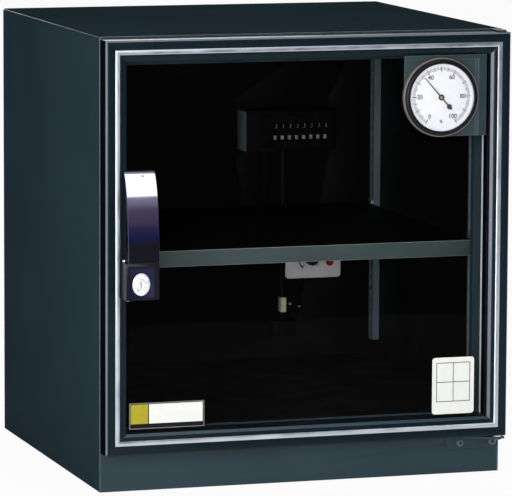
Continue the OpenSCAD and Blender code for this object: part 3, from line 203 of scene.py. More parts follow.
# Sprayed steel of the body and what stands inside it
body_paint = enamel("body_paint", tone(42, 57, 64), 0.5, specular=0.0)
body_paint.flecks(1500, tone(64, 80, 86), 0.36)
# Lighter paints for broken edges, folds and front rims: painted edge highlights.
edge_highlight_paint = enamel("edge_highlight_paint", tone(96, 108, 114), 0.4, specular=0.2)
front_rim_highlight_paint = enamel("front_rim_highlight_paint", tone(152, 162, 166), 0.4)
plinth_paint = enamel("plinth_paint", tone(47, 64, 71), 0.5, specular=0.15)
chamber_paint = enamel("chamber_paint", tone(9, 6, 8), 0.5, specular=0.06, orange_peel=0.000008)
shelf_paint = enamel("shelf_paint", tone(76, 90, 90), 0.45, specular=0.1)
# Lighter paint for the shelf's broken edges is a painted highlight; the near-black top is painted
# shade.
shelf_edge_highlight_paint = enamel("shelf_edge_highlight_paint", tone(126, 140, 134), 0.4)
shelf_top_shade_paint = enamel("shelf_top_shade_paint", tone(9, 8, 9), 0.55, specular=0.05)
post_paint = enamel("post_paint", tone(104, 124, 130), 0.42)
# A light teal-grey for the dryer's left side, a painted highlight
dryer_side_highlight_paint = enamel("dryer_side_highlight_paint", tone(120, 142, 148), 0.4)
plate_paint = enamel("plate_paint", tone(46, 62, 66), 0.5, specular=0.2)
screw_grey = enamel("screw_grey", tone(78, 94, 102), 0.35, specular=0.5)

# Door frame
frame_paint = smooth_enamel("frame_paint", tone(15, 29, 37), 0.3, 0.12)
# Lighter copies of the frame paint are painted highlights, and the darker side paint is painted
# shade
frame_rim_highlight_paint = enamel("frame_rim_highlight_paint", tone(104, 116, 126), 0.35)
right_slope_highlight_paint = smooth_enamel("right_slope_highlight_paint", tone(104, 112, 124), 0.3, 0.3)
bottom_slope_highlight_paint = smooth_enamel("bottom_slope_highlight_paint", tone(46, 66, 76), 0.3, 0.3)
frame_left_side_shade_paint = smooth_enamel("frame_left_side_shade_paint", tone(12, 14, 18), 0.4, 0.0)

# Metals
bead_metal = metal("bead_metal", tone(192, 200, 208), 0.42, 150, depth=0.0000005)
zinc = metal("zinc", tone(176, 180, 184), 0.38, 500)
dark_steel = metal("dark_steel", tone(80, 86, 92), 0.42, 500)
lock_metal = metal("lock_metal", tone(250, 250, 250), 0.5, 1400, depth=0.000002)
bright_steel = metal("bright_steel", tone(226, 226, 222), 0.22, 700)
brass = metal("brass", tone(206, 164, 92), 0.28, 600)

# Handle: a mirror-like bow with dull sides
navy = Paint("navy", tone(205, 205, 222), 0.07, Metallic=1.0)
navy.mottle(40, 0.03).wear(50, 0.06, 0.10).grain(240, 0.000002)
navy_side = moulding("navy_side", tone(24, 24, 40), 0.35, specular=0.06)
# Light blue paint for the bow's broken edges, a painted highlight
navy_edge_highlight = moulding("navy_edge_highlight", tone(84, 98, 150), 0.35, specular=0.3)
navy_recess = moulding("navy_recess", tone(26, 28, 62), 0.35, specular=0.15)
housing_paint = moulding("housing_paint", tone(22, 20, 28), 0.35, specular=0.12)

# Plastics, rubber and glass
rim_metal = moulding("rim_metal", tone(142, 122, 114), 0.3, specular=0.5, texture=0.000002)
bezel_paint = moulding("bezel_paint", tone(8, 24, 26), 0.3, specular=0.2, texture=0.000003)
rubber = moulding("rubber", tone(16, 16, 18), 0.78, specular=0.2, texture=0.00004)
vinyl = moulding("vinyl", tone(210, 216, 222), 0.55, specular=0.3)
black_plastic = moulding("black_plastic", tone(20, 20, 23), 0.5)
# Black for the screws' slots, a painted shade in the recess
screw_slot_shade_paint = moulding("screw_slot_shade_paint", tone(14, 18, 21), 0.4)
dark_plastic = moulding("dark_plastic", tone(6, 5, 6), 0.6, specular=0.08)
pale_plastic = moulding("pale_plastic", tone(246, 244, 248), 0.45)
cream = moulding("cream", tone(255, 248, 206), 0.4)
white_plastic = moulding("white_plastic", tone(246, 250, 250), 0.5)
red_lens = Paint(
    "red_lens",
    tone(150, 20, 18),
    0.15,
    Transmission_Weight=0.25,
    Emission_Color=tone(255, 40, 30),
    Emission_Strength=0.12,
).mottle(600, 0.2)
door_glass = pane("door_glass", tone(8, 8, 9), 0.10, 0.12)
lens_glass = pane("lens_glass", tone(240, 246, 248), 0.03, 0.2)

# Dial, plate print and stickers
needle_paint = flat_colour("needle_paint", tone(12, 11, 12), 0.35, 200, 0.1)
dial_card = flat_colour("dial_card", tone(244, 244, 246), 0.5, 300, 0.01, 0.2)
dial_edge = flat_colour("dial_edge", tone(206, 198, 212), 0.45, 300, 0.02)
dial_ink = flat_colour("dial_ink", tone(20, 15, 14), 0.6, 900, 0.15, 0.2)
plate_ink = flat_colour("plate_ink", tone(44, 44, 52), 0.6, 900, 0.12)
sticker_card = flat_colour("sticker_card", tone(240, 242, 234), 0.42, 120, 0.02, 0.2)
sticker_card.grain(900, 0.000008)
sticker_ink = flat_colour("sticker_ink", tone(40, 74, 62), 0.5, 400, 0.08)
sticker_black = flat_colour("sticker_black", tone(8, 7, 8), 0.4, 400, 0.08, 0.2)
sticker_olive = flat_colour("sticker_olive", tone(176, 164, 44), 0.45, 400, 0.05, 0.2)
sticker_line = flat_colour("sticker_line", tone(128, 122, 122), 0.45, 400, 0.05)


# ---------------------------------------------------------------- pieces

# Broken edges carry painted edge highlights, or a painted dark outline round the lock face.
EDGE_SHADING_SLOT = 2  # the paint slot that dressed() keeps for broken edges


def finish_mesh(obj, paints, angle=EDGE_ANGLE):
    slots = obj.data.materials
    while len(slots) < len(paints):
        slots.append(None)
    for index, paint in enumerate(paints):
        slots[index] = paint.material
    obj.data.shade_smooth()
    obj.data.set_sharp_from_angle(angle=math.radians(angle))


def extra_slot(obj, paint):
    """Adds a paint to the object and returns its slot's number."""
    obj.data.materials.append(paint.material)
    return len(obj.data.materials) - 1


def evaluated_mesh(obj):
    """The mesh that the object's modifiers, or its text, give."""
    bpy.context.view_layer.update()
    graph = bpy.context.evaluated_depsgraph_get()
    return bpy.data.meshes.new_from_object(obj.evaluated_get(graph), depsgraph=graph)


def closed_mesh(name, build):
    """The mesh of a bmesh, with its faces turned outward."""
    bmesh.ops.recalc_face_normals(build, faces=build.faces)
    mesh = bpy.data.meshes.new(name)
    build.to_mesh(mesh)
    build.free()
    return mesh


def add(name, mesh, body):
    obj = bpy.data.objects.new(name, mesh)
    bpy.context.scene.collection.objects.link(obj)
    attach(obj, body)
    return obj


def dressed(node, paint, edge=0.25, second=None, choose=None, segments=2, edge_shading=None):
    """A copy of a CAD node with its edges broken, in place of the node.

    edge is the width of the broken edges in mm. second is a further paint, for the faces that
    choose(centre, normal) picks, and the paint for the broken edges themselves lays painted
    highlights, or a painted dark outline, along them.
    """
    mesh = frame["nodes"][node].data.copy()
    mesh.materials.clear()
    build = bmesh.new()
    build.from_mesh(mesh)
    bmesh.ops.remove_doubles(build, verts=build.verts, dist=WELD)
    bmesh.ops.dissolve_limit(
        build,
        angle_limit=math.radians(FLAT_ANGLE),
        verts=build.verts,
        edges=build.edges,
        delimit={"NORMAL"},
    )
    build.to_mesh(mesh)
    build.free()
    obj = add(node + "_dressed", mesh, body_of_node[node])
    paints = [paint, second or paint] + ([edge_shading] if edge_shading else [])
    finish_mesh(obj, paints)
    if edge:
        bevel = obj.modifiers.new("edge", "BEVEL")
        bevel.width = edge * MM
        bevel.segments = segments
        bevel.limit_method = "ANGLE"
        bevel.angle_limit = math.radians(EDGE_ANGLE)
        bevel.use_clamp_overlap = True
        bevel.harden_normals = False
        bevel.material = EDGE_SHADING_SLOT if edge_shading else -1
        mesh = evaluated_mesh(obj)
        obj.modifiers.clear()
        obj.data = mesh
    finish_mesh(obj, paints)
    if second:
        for face in obj.data.polygons:
            if choose(face.center, face.normal):
                face.material_index = 1
    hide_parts(node)
    return obj


def to_front(centre, normal):
    return normal.y < -0.5


def to_back(centre, normal):
    return normal.y > 0.5


def recessed(y, share=0.5):
    """Picks the faces that look to the front from behind the plane at y."""
    return lambda centre, normal: normal.y < -share and centre.y > y


# The wrap is dark inside; its broken edges and slanted folds are painted lighter, a painted
# highlight, and where they face the front lighter still, a painted highlight along the front rim
wrap_low, wrap_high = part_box("outer_wrap")
skin = 0.9 * SHEET_T


def inside_wrap(centre, normal):
    """True for the faces of the wrap that look into the chamber."""
    return (
        abs(centre.x) < wrap_high.x - skin
        and wrap_low.z + SHEET_T < centre.z < wrap_high.z - skin
        and abs(normal.y) < 0.5
    )


wrap = dressed(
    "outer_wrap", body_paint, 0.6, chamber_paint, inside_wrap, segments=3, edge_shading=edge_highlight_paint
)
# Slanted folds get the lighter edge paint and front-facing edges the lightest: painted highlights.
front_highlight_slot = extra_slot(wrap, front_rim_highlight_paint)
for face in wrap.data.polygons:
    slanted = sorted(abs(c) for c in face.normal)[1] > 0.6
    if slanted and face.material_index == 0:
        face.material_index = EDGE_SHADING_SLOT
    if face.normal.y < -0.2 and face.material_index == EDGE_SHADING_SLOT:
        face.material_index = front_highlight_slot

dressed("back_panel", body_paint, 0.2, chamber_paint, to_front)
for node in ("left_jamb", "right_jamb", "header"):
    dressed(node, body_paint)
dressed("plinth_panel", plinth_paint)
dressed("base_panel", body_paint, 0.2)
dressed("chamber_floor", chamber_paint, 0)
dressed("rubber_feet", rubber, 0.6)
# The bracket's broken edges are painted lighter, a painted highlight along its flange.
dressed("lower_hinge_bracket", plinth_paint, 0.5, segments=3, edge_shading=edge_highlight_paint)
dressed("upper_hinge_bracket", plinth_paint, 0.3)
dressed("hinge_pins", dark_steel, 0.3)
# The screws' slots are painted black, a painted shade in the recess.
shaded_screw_slots = recessed(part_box("hinge_screws")[0].y + 0.2 * MM, 0.9)
dressed("hinge_screws", screw_grey, 0.3, screw_slot_shade_paint, shaded_screw_slots)
dressed("lock_keeper", zinc, 0.2)
for node in ("front_left_post", "front_right_post", "rear_left_post", "rear_right_post"):
    dressed(node, post_paint, 0.15)
dressed("shelf_clips", zinc)
# The shelf's top faces are painted near-black, a painted shade, and its broken edges lighter, a
# painted highlight.
dressed(
    "shelf",
    shelf_paint,
    0.6,
    shelf_top_shade_paint,
    lambda centre, normal: abs(normal.z) > 0.95,
    edge_shading=shelf_edge_highlight_paint,
)

dryer_low, dryer_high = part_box("dryer_housing")
# The housing's left side is painted light teal-grey, a painted highlight where the light catches it.
dressed(
    "dryer_housing",
    dark_plastic,
    0.3,
    dryer_side_highlight_paint,
    lambda centre, normal: normal.x < -0.8 and centre.x < dryer_low.x + MM,
)
dressed("dryer_base", dark_plastic, 0.2)
dressed("desiccant_cartridge", white_plastic, 0.4)
dressed("dryer_heater", zinc, 0.15)

cartridge_low, cartridge_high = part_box("desiccant_cartridge")
between_rows = (cartridge_low.z + cartridge_high.z) / 2
strip_gap = 0.4 * MM


def folded_strip(name, low, high, paint):
    """Thin plate with its long edges turned back, across the dryer just behind its slots."""
    build = bmesh.new()
    rows = [(0.3, low), (0.9, low + 0.6 * MM), (0.9, high - 0.6 * MM), (0.3, high)]
    ends = [
        [build.verts.new((x, cartridge_low.y - out * MM, z)) for out, z in rows]
        for x in (cartridge_low.x, dryer_high.x - 5 * MM)
    ]
    for k in range(len(rows)):
        j = (k + 1) % len(rows)
        build.faces.new((ends[0][k], ends[0][j], ends[1][j], ends[1][k]))
    for end in ends:
        build.faces.new(end)
    strip = add(name, closed_mesh(name, build), body_of_node["dryer_housing"])
    finish_mesh(strip, [paint])


# A dark strip behind the upper row of slots, a painted shade that darkens them.
folded_strip(
    "vent_shade_baffle",
    between_rows + strip_gap,
    cartridge_high.z - strip_gap,
    dark_plastic,
)
# A white strip behind the lower row of slots, a painted highlight that brightens them.
folded_strip(
    "vent_highlight_tray",
    cartridge_low.z + strip_gap,
    between_rows - strip_gap,
    white_plastic,
)
dressed("shutter_plate", pale_plastic, 0.2)
dressed("shutter_actuator", brass, 0.2)
dressed("dryer_screws", dark_plastic, 0.15)

dressed("control_box", dark_plastic, 0.3)
dressed("control_plate", pale_plastic, 0.4)
dressed("humidistat", black_plastic, 0.3)
dressed("humidity_knob", black_plastic)
lamp_ring_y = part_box("power_lamp")[0].y + 1.2 * MM
dressed("power_lamp", red_lens, 0, black_plastic, lambda centre, normal: centre.y > lamp_ring_y)
dressed("inner_lead", rubber, 0)
dressed("lead_clip", cream, 0.6)
dressed("clip_plate", dark_plastic, 0.2)
dressed("clip_screws", bright_steel, 0.15, body_paint, to_back)

dressed("rear_vent_cover", black_plastic, 0.5)
indoors_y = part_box("back_panel")[0].y + MM
dressed(
    "mains_inlet", black_plastic, 0.4, chamber_paint, lambda centre, normal: centre.y < indoors_y
)
dressed("inlet_pins", brass, 0.2)
dressed("rear_screws", zinc, 0.2, chamber_paint, to_front)

# The door frame's slopes have painted light: the outer rims on the left and top and the inner slopes
# of the right stile and bottom rail are painted lighter, painted highlights, and the left-facing
# sides darker, a painted shade
door_low, door_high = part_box("bottom_rail")[0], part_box("top_rail")[1]
lit_rim_w = 1.2 * MM
outer_slope_w = 12 * MM
for member in ("left_stile", "right_stile", "top_rail", "bottom_rail"):
    piece = dressed(
        member,
        frame_paint,
        0.5,
        frame_left_side_shade_paint,
        lambda centre, normal: normal.x < -0.95,
        segments=3,
        edge_shading=frame_paint,
    )
    lit_rim = extra_slot(piece, frame_rim_highlight_paint)
    lit_right_slope = extra_slot(piece, right_slope_highlight_paint)
    lit_bottom_slope = extra_slot(piece, bottom_slope_highlight_paint)
    for face in piece.data.polygons:
        x, y, z = face.normal
        centre = face.center
        if y >= -0.15 or max(abs(x), abs(z)) <= 0.25:
            continue
        if centre.x < door_low.x + lit_rim_w or centre.z > door_high.z - lit_rim_w:
            face.material_index = lit_rim
        elif member == "right_stile" and x < 0 and centre.x < door_high.x - outer_slope_w:
            face.material_index = lit_right_slope
        elif member == "bottom_rail" and z > 0 and centre.z > door_low.z + outer_slope_w:
            face.material_index = lit_bottom_slope

dressed("bead", bead_metal, 0)
dressed("corner_keys", zinc, 0.3)
dressed("pivot_bushes", white_plastic, 0.15)
dressed("glass_pane", door_glass, 0)
dressed("glazing_gasket", rubber, 0)
# The seal's bottom run is painted dark, a painted shade; the other runs are pale vinyl.
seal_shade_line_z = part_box("door_seal")[0].z + 16 * MM
dressed("door_seal", vinyl, 0, dark_plastic, lambda centre, normal: centre.z < seal_shade_line_z)

# The bow's broken edges are painted light blue, a painted highlight.
# One segment on the bow: a rounded edge would bend the mirror's normals
dressed(
    "handle_bow",
    navy,
    0.5,
    navy_side,
    lambda centre, normal: abs(normal.x) > 0.8,
    segments=1,
    edge_shading=navy_edge_highlight,
)
lock_recess = recessed(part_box("lock_housing")[0].y + 0.5 * MM)
dressed("lock_housing", housing_paint, 0.35, navy_recess, lock_recess, segments=3)
# The lock face's rounded rim is painted with the dark housing paint, a painted shade outline round
# the bright face.
dressed(
    "lock_barrel",
    lock_metal,
    0.9,
    navy_side,
    lambda centre, normal: normal.y > -0.6,
    segments=3,
    edge_shading=housing_paint,
)
dressed("lock_plug", lock_metal, 0.1)
dressed("lock_cam", zinc, 0.3)
dressed("handle_fixings", bright_steel, 0.2)

# Its broken edges are painted lighter, a painted edge highlight.
dressed("hygrometer_plate", plate_paint, edge_shading=edge_highlight_paint)
dial_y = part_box("hygrometer_case")[0].y
dressed(
    "hygrometer_case",
    black_plastic,
    0.15,
    dial_card,
    lambda centre, normal: to_front(centre, normal) and centre.y < dial_y + 0.1 * MM,
)


# ---------------------------------------------------------------- hygrometer

bezel_low, bezel_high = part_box("hygrometer_bezel")
dial_x = (bezel_low.x + bezel_high.x) / 2
dial_z = (bezel_low.z + bezel_high.z) / 2
dial_centre = (dial_x, dial_z)
door = body_of_node["hygrometer_case"]
needle_body = body_of_node["hygrometer_needle"]


def turned(
    name, profile, paint, body, second=None, second_bands=(), count=128, closed=True
):
    """Ring about the dial's axis, from (radius, forward) points in mm.

    forward is counted from the dial's plate. The bands in second_bands get the second paint.
    """
    build = bmesh.new()
    rings = []
    for radius, forward in profile:
        ring = []
        for i in range(count):
            turn = 2 * math.pi * i / count
            x = dial_x + radius * MM * math.cos(turn)
            z = dial_z + radius * MM * math.sin(turn)
            ring.append(build.verts.new((x, bezel_high.y - forward * MM, z)))
        rings.append(ring)
    following = rings[1:] + rings[:1] if closed else rings[1:]
    for index, (inner, outer) in enumerate(zip(rings, following)):
        for i in range(count):
            j = (i + 1) % count
            face = build.faces.new((inner[i], inner[j], outer[j], outer[i]))
            face.material_index = int(index in second_bands)
    obj = add(name, closed_mesh(name, build), body)
    finish_mesh(obj, [paint, second] if second else [paint], 50)
    return obj


bezel = turned(
    "hygrometer_bezel_ring",
    [
        (33.55, 0.0),
        (33.55, 6.0),
        (32.05, 6.05),
        (32.1, 6.4),
        (32.5, 6.7),
        (33.4, 6.78),
        (34.8, 6.6),
        (35.8, 6.1),
        (36.2, 5.4),
        (36.45, 4.6),
        (36.55, 4.1),
        (36.8, 4.35),
        (37.2, 4.3),
        (37.48, 3.9),
        (37.5, 3.4),
        (37.5, 0.0),
    ],
    bezel_paint,
    door,
    second=rim_metal,
    second_bands=range(10, 15),
)
spacer = turned(
    "hygrometer_spacer",
    [(31.7, 3.25), (31.75, 4.6), (32.0, 4.9), (33.4, 4.9), (33.4, 3.25)],
    dial_edge,
    door,
)


def lens_mesh(name, centre_y, radius, thickness):
    """Flat disc in front of the dial, with its rims rounded."""
    build = bmesh.new()
    upright = Matrix.Rotation(math.radians(90), 4, "X")
    bmesh.ops.create_cone(
        build,
        cap_ends=True,
        segments=96,
        radius1=radius,
        radius2=radius,
        depth=thickness,
        matrix=Matrix.Translation((dial_x, centre_y, dial_z)) @ upright,
    )
    rims = [edge for edge in build.edges if edge.calc_face_angle(0) > 1]
    bmesh.ops.bevel(build, geom=rims, offset=thickness * 0.2, segments=2, affect="EDGES")
    return closed_mesh(name, build)


lens = add(
    "hygrometer_lens",
    lens_mesh("hygrometer_lens", bezel_high.y - 5.45 * MM, 33.4 * MM, 0.9 * MM),
    door,
)
finish_mesh(lens, [lens_glass])
for piece in (bezel, spacer, lens):
    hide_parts("hygrometer_bezel")


def flat_print(name, shapes, y, paint, body, thickness=0.04):
    """Printed marks: each shape is a list of (x, z) corners, laid at y and thickness mm deep."""
    build = bmesh.new()
    for corners in shapes:
        front = [build.verts.new((x, y - thickness * MM, z)) for x, z in corners]
        back = [build.verts.new((x, y, z)) for x, z in corners]
        build.faces.new(front)
        for i in range(len(corners)):
            j = (i + 1) % len(corners)
            build.faces.new((front[i], back[i], back[j], front[j]))
    obj = add(name, closed_mesh(name, build), body)
    finish_mesh(obj, [paint])
    return obj


def around(centre, angle, along, across=0.0):
    """The (x, z) point at along mm on a ray clockwise from straight up, and across mm beside it."""
    turn = math.radians(angle)
    sine, cosine = math.sin(turn), math.cos(turn)
    return (
        centre[0] + MM * (sine * along + cosine * across),
        centre[1] + MM * (cosine * along - sine * across),
    )


def ray_box(centre, angle, inner, outer, width):
    """Corners of a bar along a ray, in mm."""
    corners = ((inner, -width / 2), (inner, width / 2), (outer, width / 2), (outer, -width / 2))
    return [around(centre, angle, *corner) for corner in corners]


def arc(centre, radius, width, start, end, step=9):
    """Short straight pieces of an arc, in mm and degrees clockwise from straight up."""
    count = max(1, round((end - start) / step))
    low, high = radius - width / 2, radius + width / 2
    pieces = []
    for i in range(count):
        a, b = (start + (end - start) * k / count for k in (i, i + 1))
        corners = ((a, low), (a, high), (b, high), (b, low))
        pieces.append([around(centre, angle, along) for angle, along in corners])
    return pieces


SCALE_END = 147.5  # degrees from straight up to either end of the dial's scale


def scale_angle(value):
    return -SCALE_END + 2 * SCALE_END * value / 100


marks = []
for value in range(101):
    if value % 10 == 0:
        size = (24.4, 29.2, 0.8)
    elif value % 5 == 0:
        size = (24.9, 28.9, 0.62)
    else:
        size = (25.8, 28.8, 0.44)
    marks.append(ray_box(dial_centre, scale_angle(value), *size))
flat_print("dial_scale", marks, dial_y - 0.01 * MM, dial_ink, door)


def dial_text(name, text, x, z, height):
    """A figure or sign standing upright on the dial, height mm tall."""
    curve = bpy.data.curves.new(name, "FONT")
    curve.body = text
    curve.size = height * MM / 0.69  # a figure is 0.69 of the font's size tall
    curve.align_x = "CENTER"
    curve.align_y = "CENTER"
    curve.offset = 0.11 * MM
    curve.extrude = 0.015 * MM
    made = bpy.data.objects.new(name + "_curve", curve)
    made.location = (x, dial_y - 0.03 * MM, z)
    made.rotation_euler = (math.radians(90), 0, 0)
    bpy.context.scene.collection.objects.link(made)
    mesh = evaluated_mesh(made)
    mesh.transform(made.matrix_world)
    bpy.data.objects.remove(made)
    finish_mesh(add(name, mesh, door), [dial_ink])


for value in (0, 20, 40, 60, 80, 100):
    x, z = around(dial_centre, scale_angle(value), 21.6)
    dial_text("dial_figure_%d" % value, str(value), x, z, 4.0)
dial_text("dial_percent", "%", dial_x, dial_z - 23 * MM, 2.9)

NEEDLE_REST = -41.5  # degrees from straight up
NEEDLE_FORWARD = 4.7  # mm from the dial's plate to the needle's front
SHAFT_END, DROP_CENTRE, DROP_R = 9.6, 12.1, 2.5  # mm, of the tail behind the axle


def tail_side(side, angles):
    """Points round one side of the drop on the needle's tail."""
    return [
        (
            -DROP_CENTRE - DROP_R * math.sin(math.radians(a)),
            side * DROP_R * math.cos(math.radians(a)),
        )
        for a in angles
    ]


outline = [(25, -0.3), (25, 0.3), (0, 0.6), (-SHAFT_END, 0.6)]
outline += tail_side(1, range(-60, 61, 12))
outline += [(-16.4, 0)]
outline += tail_side(-1, range(60, -61, -12))
outline += [(-SHAFT_END, -0.6), (0, -0.6)]
hand = flat_print(
    "needle_hand",
    [[around(dial_centre, NEEDLE_REST, *point) for point in outline]],
    bezel_high.y - (NEEDLE_FORWARD - 0.8) * MM,
    needle_paint,
    needle_body,
    thickness=0.4,
)


def hub(name, profile, paint):
    """Small turned hub on the needle's axle, forward counted from the needle's front."""
    points = [(radius, NEEDLE_FORWARD + forward) for radius, forward in profile]
    return turned(name, points, paint, needle_body, count=40, closed=False)


needle_hub = hub(
    "needle_hub",
    [(0.9, -1.2), (2.8, -1.2), (2.9, -0.9), (2.9, -0.4), (2.7, -0.15), (0.02, -0.15)],
    needle_paint,
)
needle_cap = hub(
    "needle_cap",
    [(1.25, -0.15), (1.25, 0.02), (1.0, 0.12), (0.5, 0.18), (0.02, 0.2)],
    brass,
)
for piece in (hand, needle_hub, needle_cap):
    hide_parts("hygrometer_needle")


# ---------------------------------------------------------------- stickers and plate print


def rounded_card(x0, z0, x1, z1, radius, steps=5):
    """Corners of a rectangle with round corners, in mm."""
    points = []
    for cx, cz, first in ((x1, z1, 0), (x0, z1, 90), (x0, z0, 180), (x1, z0, 270)):
        in_x = radius if cx == x0 else -radius
        in_z = radius if cz == z0 else -radius
        for k in range(steps + 1):
            a = math.radians(first + 90 * k / steps)
            x = cx + in_x + radius * math.cos(a)
            z = cz + in_z + radius * math.sin(a)
            points.append((MM * x, MM * z))
    return points


def bar(x0, z0, x1, z1):
    return [(MM * x0, MM * z0), (MM * x1, MM * z0), (MM * x1, MM * z1), (MM * x0, MM * z1)]


def border(x0, z0, x1, z1, width):
    return [
        bar(x0, z0, x1, z0 + width),
        bar(x0, z1 - width, x1, z1),
        bar(x0, z0 + width, x0 + width, z1 - width),
        bar(x1 - width, z0 + width, x1, z1 - width),
    ]


glass_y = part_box("glass_pane")[0].y
CARD_T = 0.15  # mm
on_glass = glass_y - 0.01 * MM
on_card = glass_y - 0.17 * MM

care_shape = rounded_card(124.4, 62.6, 167.0, 117.4, 3.0)
flat_print("care_card", [care_shape], on_glass, sticker_card, door, CARD_T)
card_rules = border(128.6, 74.5, 163.0, 112.5, 0.7)
card_rules += [bar(129.3, 93.2, 162.3, 93.9), bar(145.5, 75.2, 146.2, 111.8)]
flat_print("care_card_rules", card_rules, on_card, sticker_ink, door)

name_shape = rounded_card(-177, 62.8, -103, 88.2, 0.8)
flat_print("name_card", [name_shape], on_glass, sticker_black, door, CARD_T)
name_rim = border(-176.6, 63.2, -103.4, 87.8, 0.7)
flat_print("name_card_rim", name_rim, on_card, sticker_line, door)
olive_field = bar(-175.3, 68.0, -158.4, 86.4)
flat_print("name_card_olive", [olive_field], on_card, sticker_olive, door)
pale_field = bar(-157.4, 68.0, -105.0, 86.4)
flat_print("name_card_field", [pale_field], on_card, sticker_card, door)

# Knob scale: eleven ticks on a fine arc, and a wedge that widens round the left side
knob_low, knob_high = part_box("humidity_knob")
knob_centre = ((knob_low.x + knob_high.x) / 2, (knob_low.z + knob_high.z) / 2)
KNOB_END = 135  # degrees from straight up to either end of the knob's scale
knob_marks = []
for step in range(11):
    outer = 11.8 if step % 5 == 0 else 10.8
    knob_marks.append(ray_box(knob_centre, -KNOB_END + 27 * step, 9.2, outer, 0.7))
knob_marks += arc(knob_centre, 9.0, 0.35, -KNOB_END, KNOB_END)
for step in range(10):
    start = -60 - 9 * step
    knob_marks += arc(knob_centre, 12.6, 0.4 + 0.16 * step, start, start + 9)
flat_print(
    "knob_scale",
    knob_marks,
    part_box("control_plate")[0].y - 0.01 * MM,
    plate_ink,
    body_of_node["control_plate"],
)


# ---------------------------------------------------------------- stage


def softbox(name, azimuth, elevation, distance, width, height, watts, aim=(0, -0.19, 0.22)):
    """Area lamp facing the cabinet. Azimuth 0 is in front and negative is to the left."""
    lamp = bpy.data.lights.new(name, "AREA")
    lamp.shape = "RECTANGLE"
    lamp.size, lamp.size_y = width, height
    lamp.energy = watts
    obj = bpy.data.objects.new(name, lamp)
    bpy.context.scene.collection.objects.link(obj)
    a, e = math.radians(azimuth), math.radians(elevation)
    out = Vector((math.sin(a) * math.cos(e), -math.cos(a) * math.cos(e), math.sin(e)))
    obj.location = Vector(aim) + out * distance
    obj.rotation_euler = (-out).to_track_quat("-Z", "Y").to_euler()
    obj.visible_camera = False


softbox("front_softbox", -32, 9, 2.7, 2.2, 2.0, 50)
softbox("fill_softbox", -18, 3, 3.2, 1.0, 1.0, 21)
softbox("overhead_bank", 18, 49, 2.3, 1.0, 2.35, 13, aim=(-0.17, -0.22, 0.28))
softbox("left_strip", -70, 6, 1.1, 0.4, 1.2, 3.5, aim=(-0.2, -0.3, 0.18))
softbox("rim_light", 176, 28, 2.6, 1.6, 0.7, 10)
softbox("rear_softbox", 178, 4, 2.7, 1.6, 1.4, 26)
softbox("right_softbox", 96, 6, 2.6, 1.2, 1.4, 14)


def combined(tree, operation, first, second):
    made = tree.nodes.new("ShaderNodeMath")
    made.operation = operation
    for socket, value in zip(made.inputs, (first, second)):
        if isinstance(value, float):
            socket.default_value = value
        else:
            tree.links.new(value, socket)
    return made.outputs[0]


def seen_directly(tree):
    """1 for what the camera sees, straight or through clear sheet, and 0 for light."""
    path = tree.nodes.new("ShaderNodeLightPath")
    straight, through = path.outputs["Is Camera Ray"], path.outputs["Is Transmission Ray"]
    return combined(tree, "MAXIMUM", straight, through)


def reflected(tree):
    return tree.nodes.new("ShaderNodeLightPath").outputs["Is Glossy Ray"]


# World: white to the camera and behind the cabinet, and a dim room in front for the reflections
world = bpy.data.worlds.new("studio")
world.use_nodes = True
bpy.context.scene.world = world
tree = world.node_tree
tree.nodes.clear()
direction = tree.nodes.new("ShaderNodeTexCoord")
split = tree.nodes.new("ShaderNodeSeparateXYZ")
height = tree.nodes.new("ShaderNodeMapRange")
height.inputs[1].default_value, height.inputs[2].default_value = -1.0, 1.0
sky = tree.nodes.new("ShaderNodeValToRGB")
sky.color_ramp.interpolation = "EASE"
levels = [
    (0.0, (0.020, 0.019, 0.022)),
    (0.485, (0.016, 0.015, 0.019)),
    (0.505, (0.014, 0.018, 0.075)),
    (0.53, (0.030, 0.027, 0.075)),
    (0.56, (0.075, 0.060, 0.105)),
    (0.60, (0.085, 0.070, 0.120)),
    (0.66, (0.26, 0.24, 0.32)),
    (0.74, (0.14, 0.15, 0.17)),
    (1.0, (0.12, 0.13, 0.15)),
]
while len(sky.color_ramp.elements) < len(levels):
    sky.color_ramp.elements.new(0.5)
for element, (position, colour) in zip(sky.color_ramp.elements, levels):
    element.position = position
    element.color = colour + (1.0,)
tree.links.new(direction.outputs["Generated"], split.inputs[0])
tree.links.new(split.outputs["Z"], height.inputs[0])
tree.links.new(height.outputs["Result"], sky.inputs["Fac"])
room = tree.nodes.new("ShaderNodeBackground")
tree.links.new(sky.outputs["Color"], room.inputs["Color"])
white = tree.nodes.new("ShaderNodeBackground")
white.inputs["Color"].default_value = (1, 1, 1, 1)
choice = tree.nodes.new("ShaderNodeMixShader")
output = tree.nodes.new("ShaderNodeOutputWorld")
behind = tree.nodes.new("ShaderNodeMapRange")
behind.inputs[1].default_value, behind.inputs[2].default_value = -0.15, 0.15
tree.links.new(split.outputs["Y"], behind.inputs[0])
backdrop = combined(tree, "MULTIPLY", reflected(tree), behind.outputs["Result"])
tree.links.new(combined(tree, "MAXIMUM", seen_directly(tree), backdrop), choice.inputs[0])
tree.links.new(room.outputs[0], choice.inputs[1])
tree.links.new(white.outputs[0], choice.inputs[2])
tree.links.new(choice.outputs[0], output.inputs["Surface"])

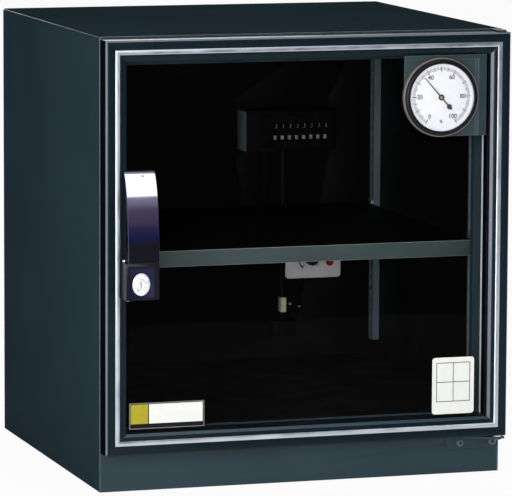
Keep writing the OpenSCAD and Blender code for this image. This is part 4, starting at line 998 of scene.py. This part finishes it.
# Floor: ends in front of the cabinet like a table top, so that the handle doesn't mirror it
floor_mesh = bpy.data.meshes.new("floor")
floor_mesh.from_pydata([(-6, -1.2, 0), (6, -1.2, 0), (6, 6, 0), (-6, 6, 0)], [], [(0, 1, 2, 3)])
floor = bpy.data.objects.new("floor", floor_mesh)
bpy.context.scene.collection.objects.link(floor)
FLOOR_GLOW = 0.955  # share of plain white; the rest takes the cabinet's shadow
floor_paint = Paint("floor_paint", (0.8, 0.8, 0.8, 1), 0.9, Specular_IOR_Level=0.0)
glow = floor_paint.node("ShaderNodeEmission", Strength=1.0)
blend = floor_paint.node("ShaderNodeMixShader")
tree = floor_paint.tree
seen = combined(tree, "MAXIMUM", seen_directly(tree), reflected(tree))
floor_paint.link(combined(tree, "MULTIPLY", seen, FLOOR_GLOW), blend.inputs[0])
floor_paint.link(floor_paint.shader.outputs[0], blend.inputs[1])
floor_paint.link(glow.outputs[0], blend.inputs[2])
floor_paint.link(blend.outputs[0], tree.nodes["Material Output"].inputs["Surface"])
floor_mesh.materials.append(floor_paint.material)


# ---------------------------------------------------------------- camera

IMAGE_W = 512  # px, of a picture 512 by 496
FOCAL_PX = 4169

yaw, pitch, roll = (math.radians(v) for v in (17.808, 7.637, 0.27))
ahead = Vector(
    (math.sin(yaw) * math.cos(pitch), math.cos(yaw) * math.cos(pitch), -math.sin(pitch))
)
level = Vector((math.cos(yaw), -math.sin(yaw), 0))
above = level.cross(ahead)
across = level * math.cos(roll) + above * math.sin(roll)
upward = above * math.cos(roll) - level * math.sin(roll)
optics = bpy.data.cameras.new("camera")
optics.sensor_width = 36
optics.lens = FOCAL_PX * 36 / IMAGE_W
optics.clip_start, optics.clip_end = 0.1, 60
camera = bpy.data.objects.new("camera", optics)
bpy.context.scene.collection.objects.link(camera)
turn = Matrix((across, upward, -ahead)).transposed().to_4x4()
camera.matrix_world = Matrix.Translation((-1.239, -3.891, 0.750)) @ turn
bpy.context.scene.camera = camera
bpy.context.scene.view_settings.view_transform = "Standard"
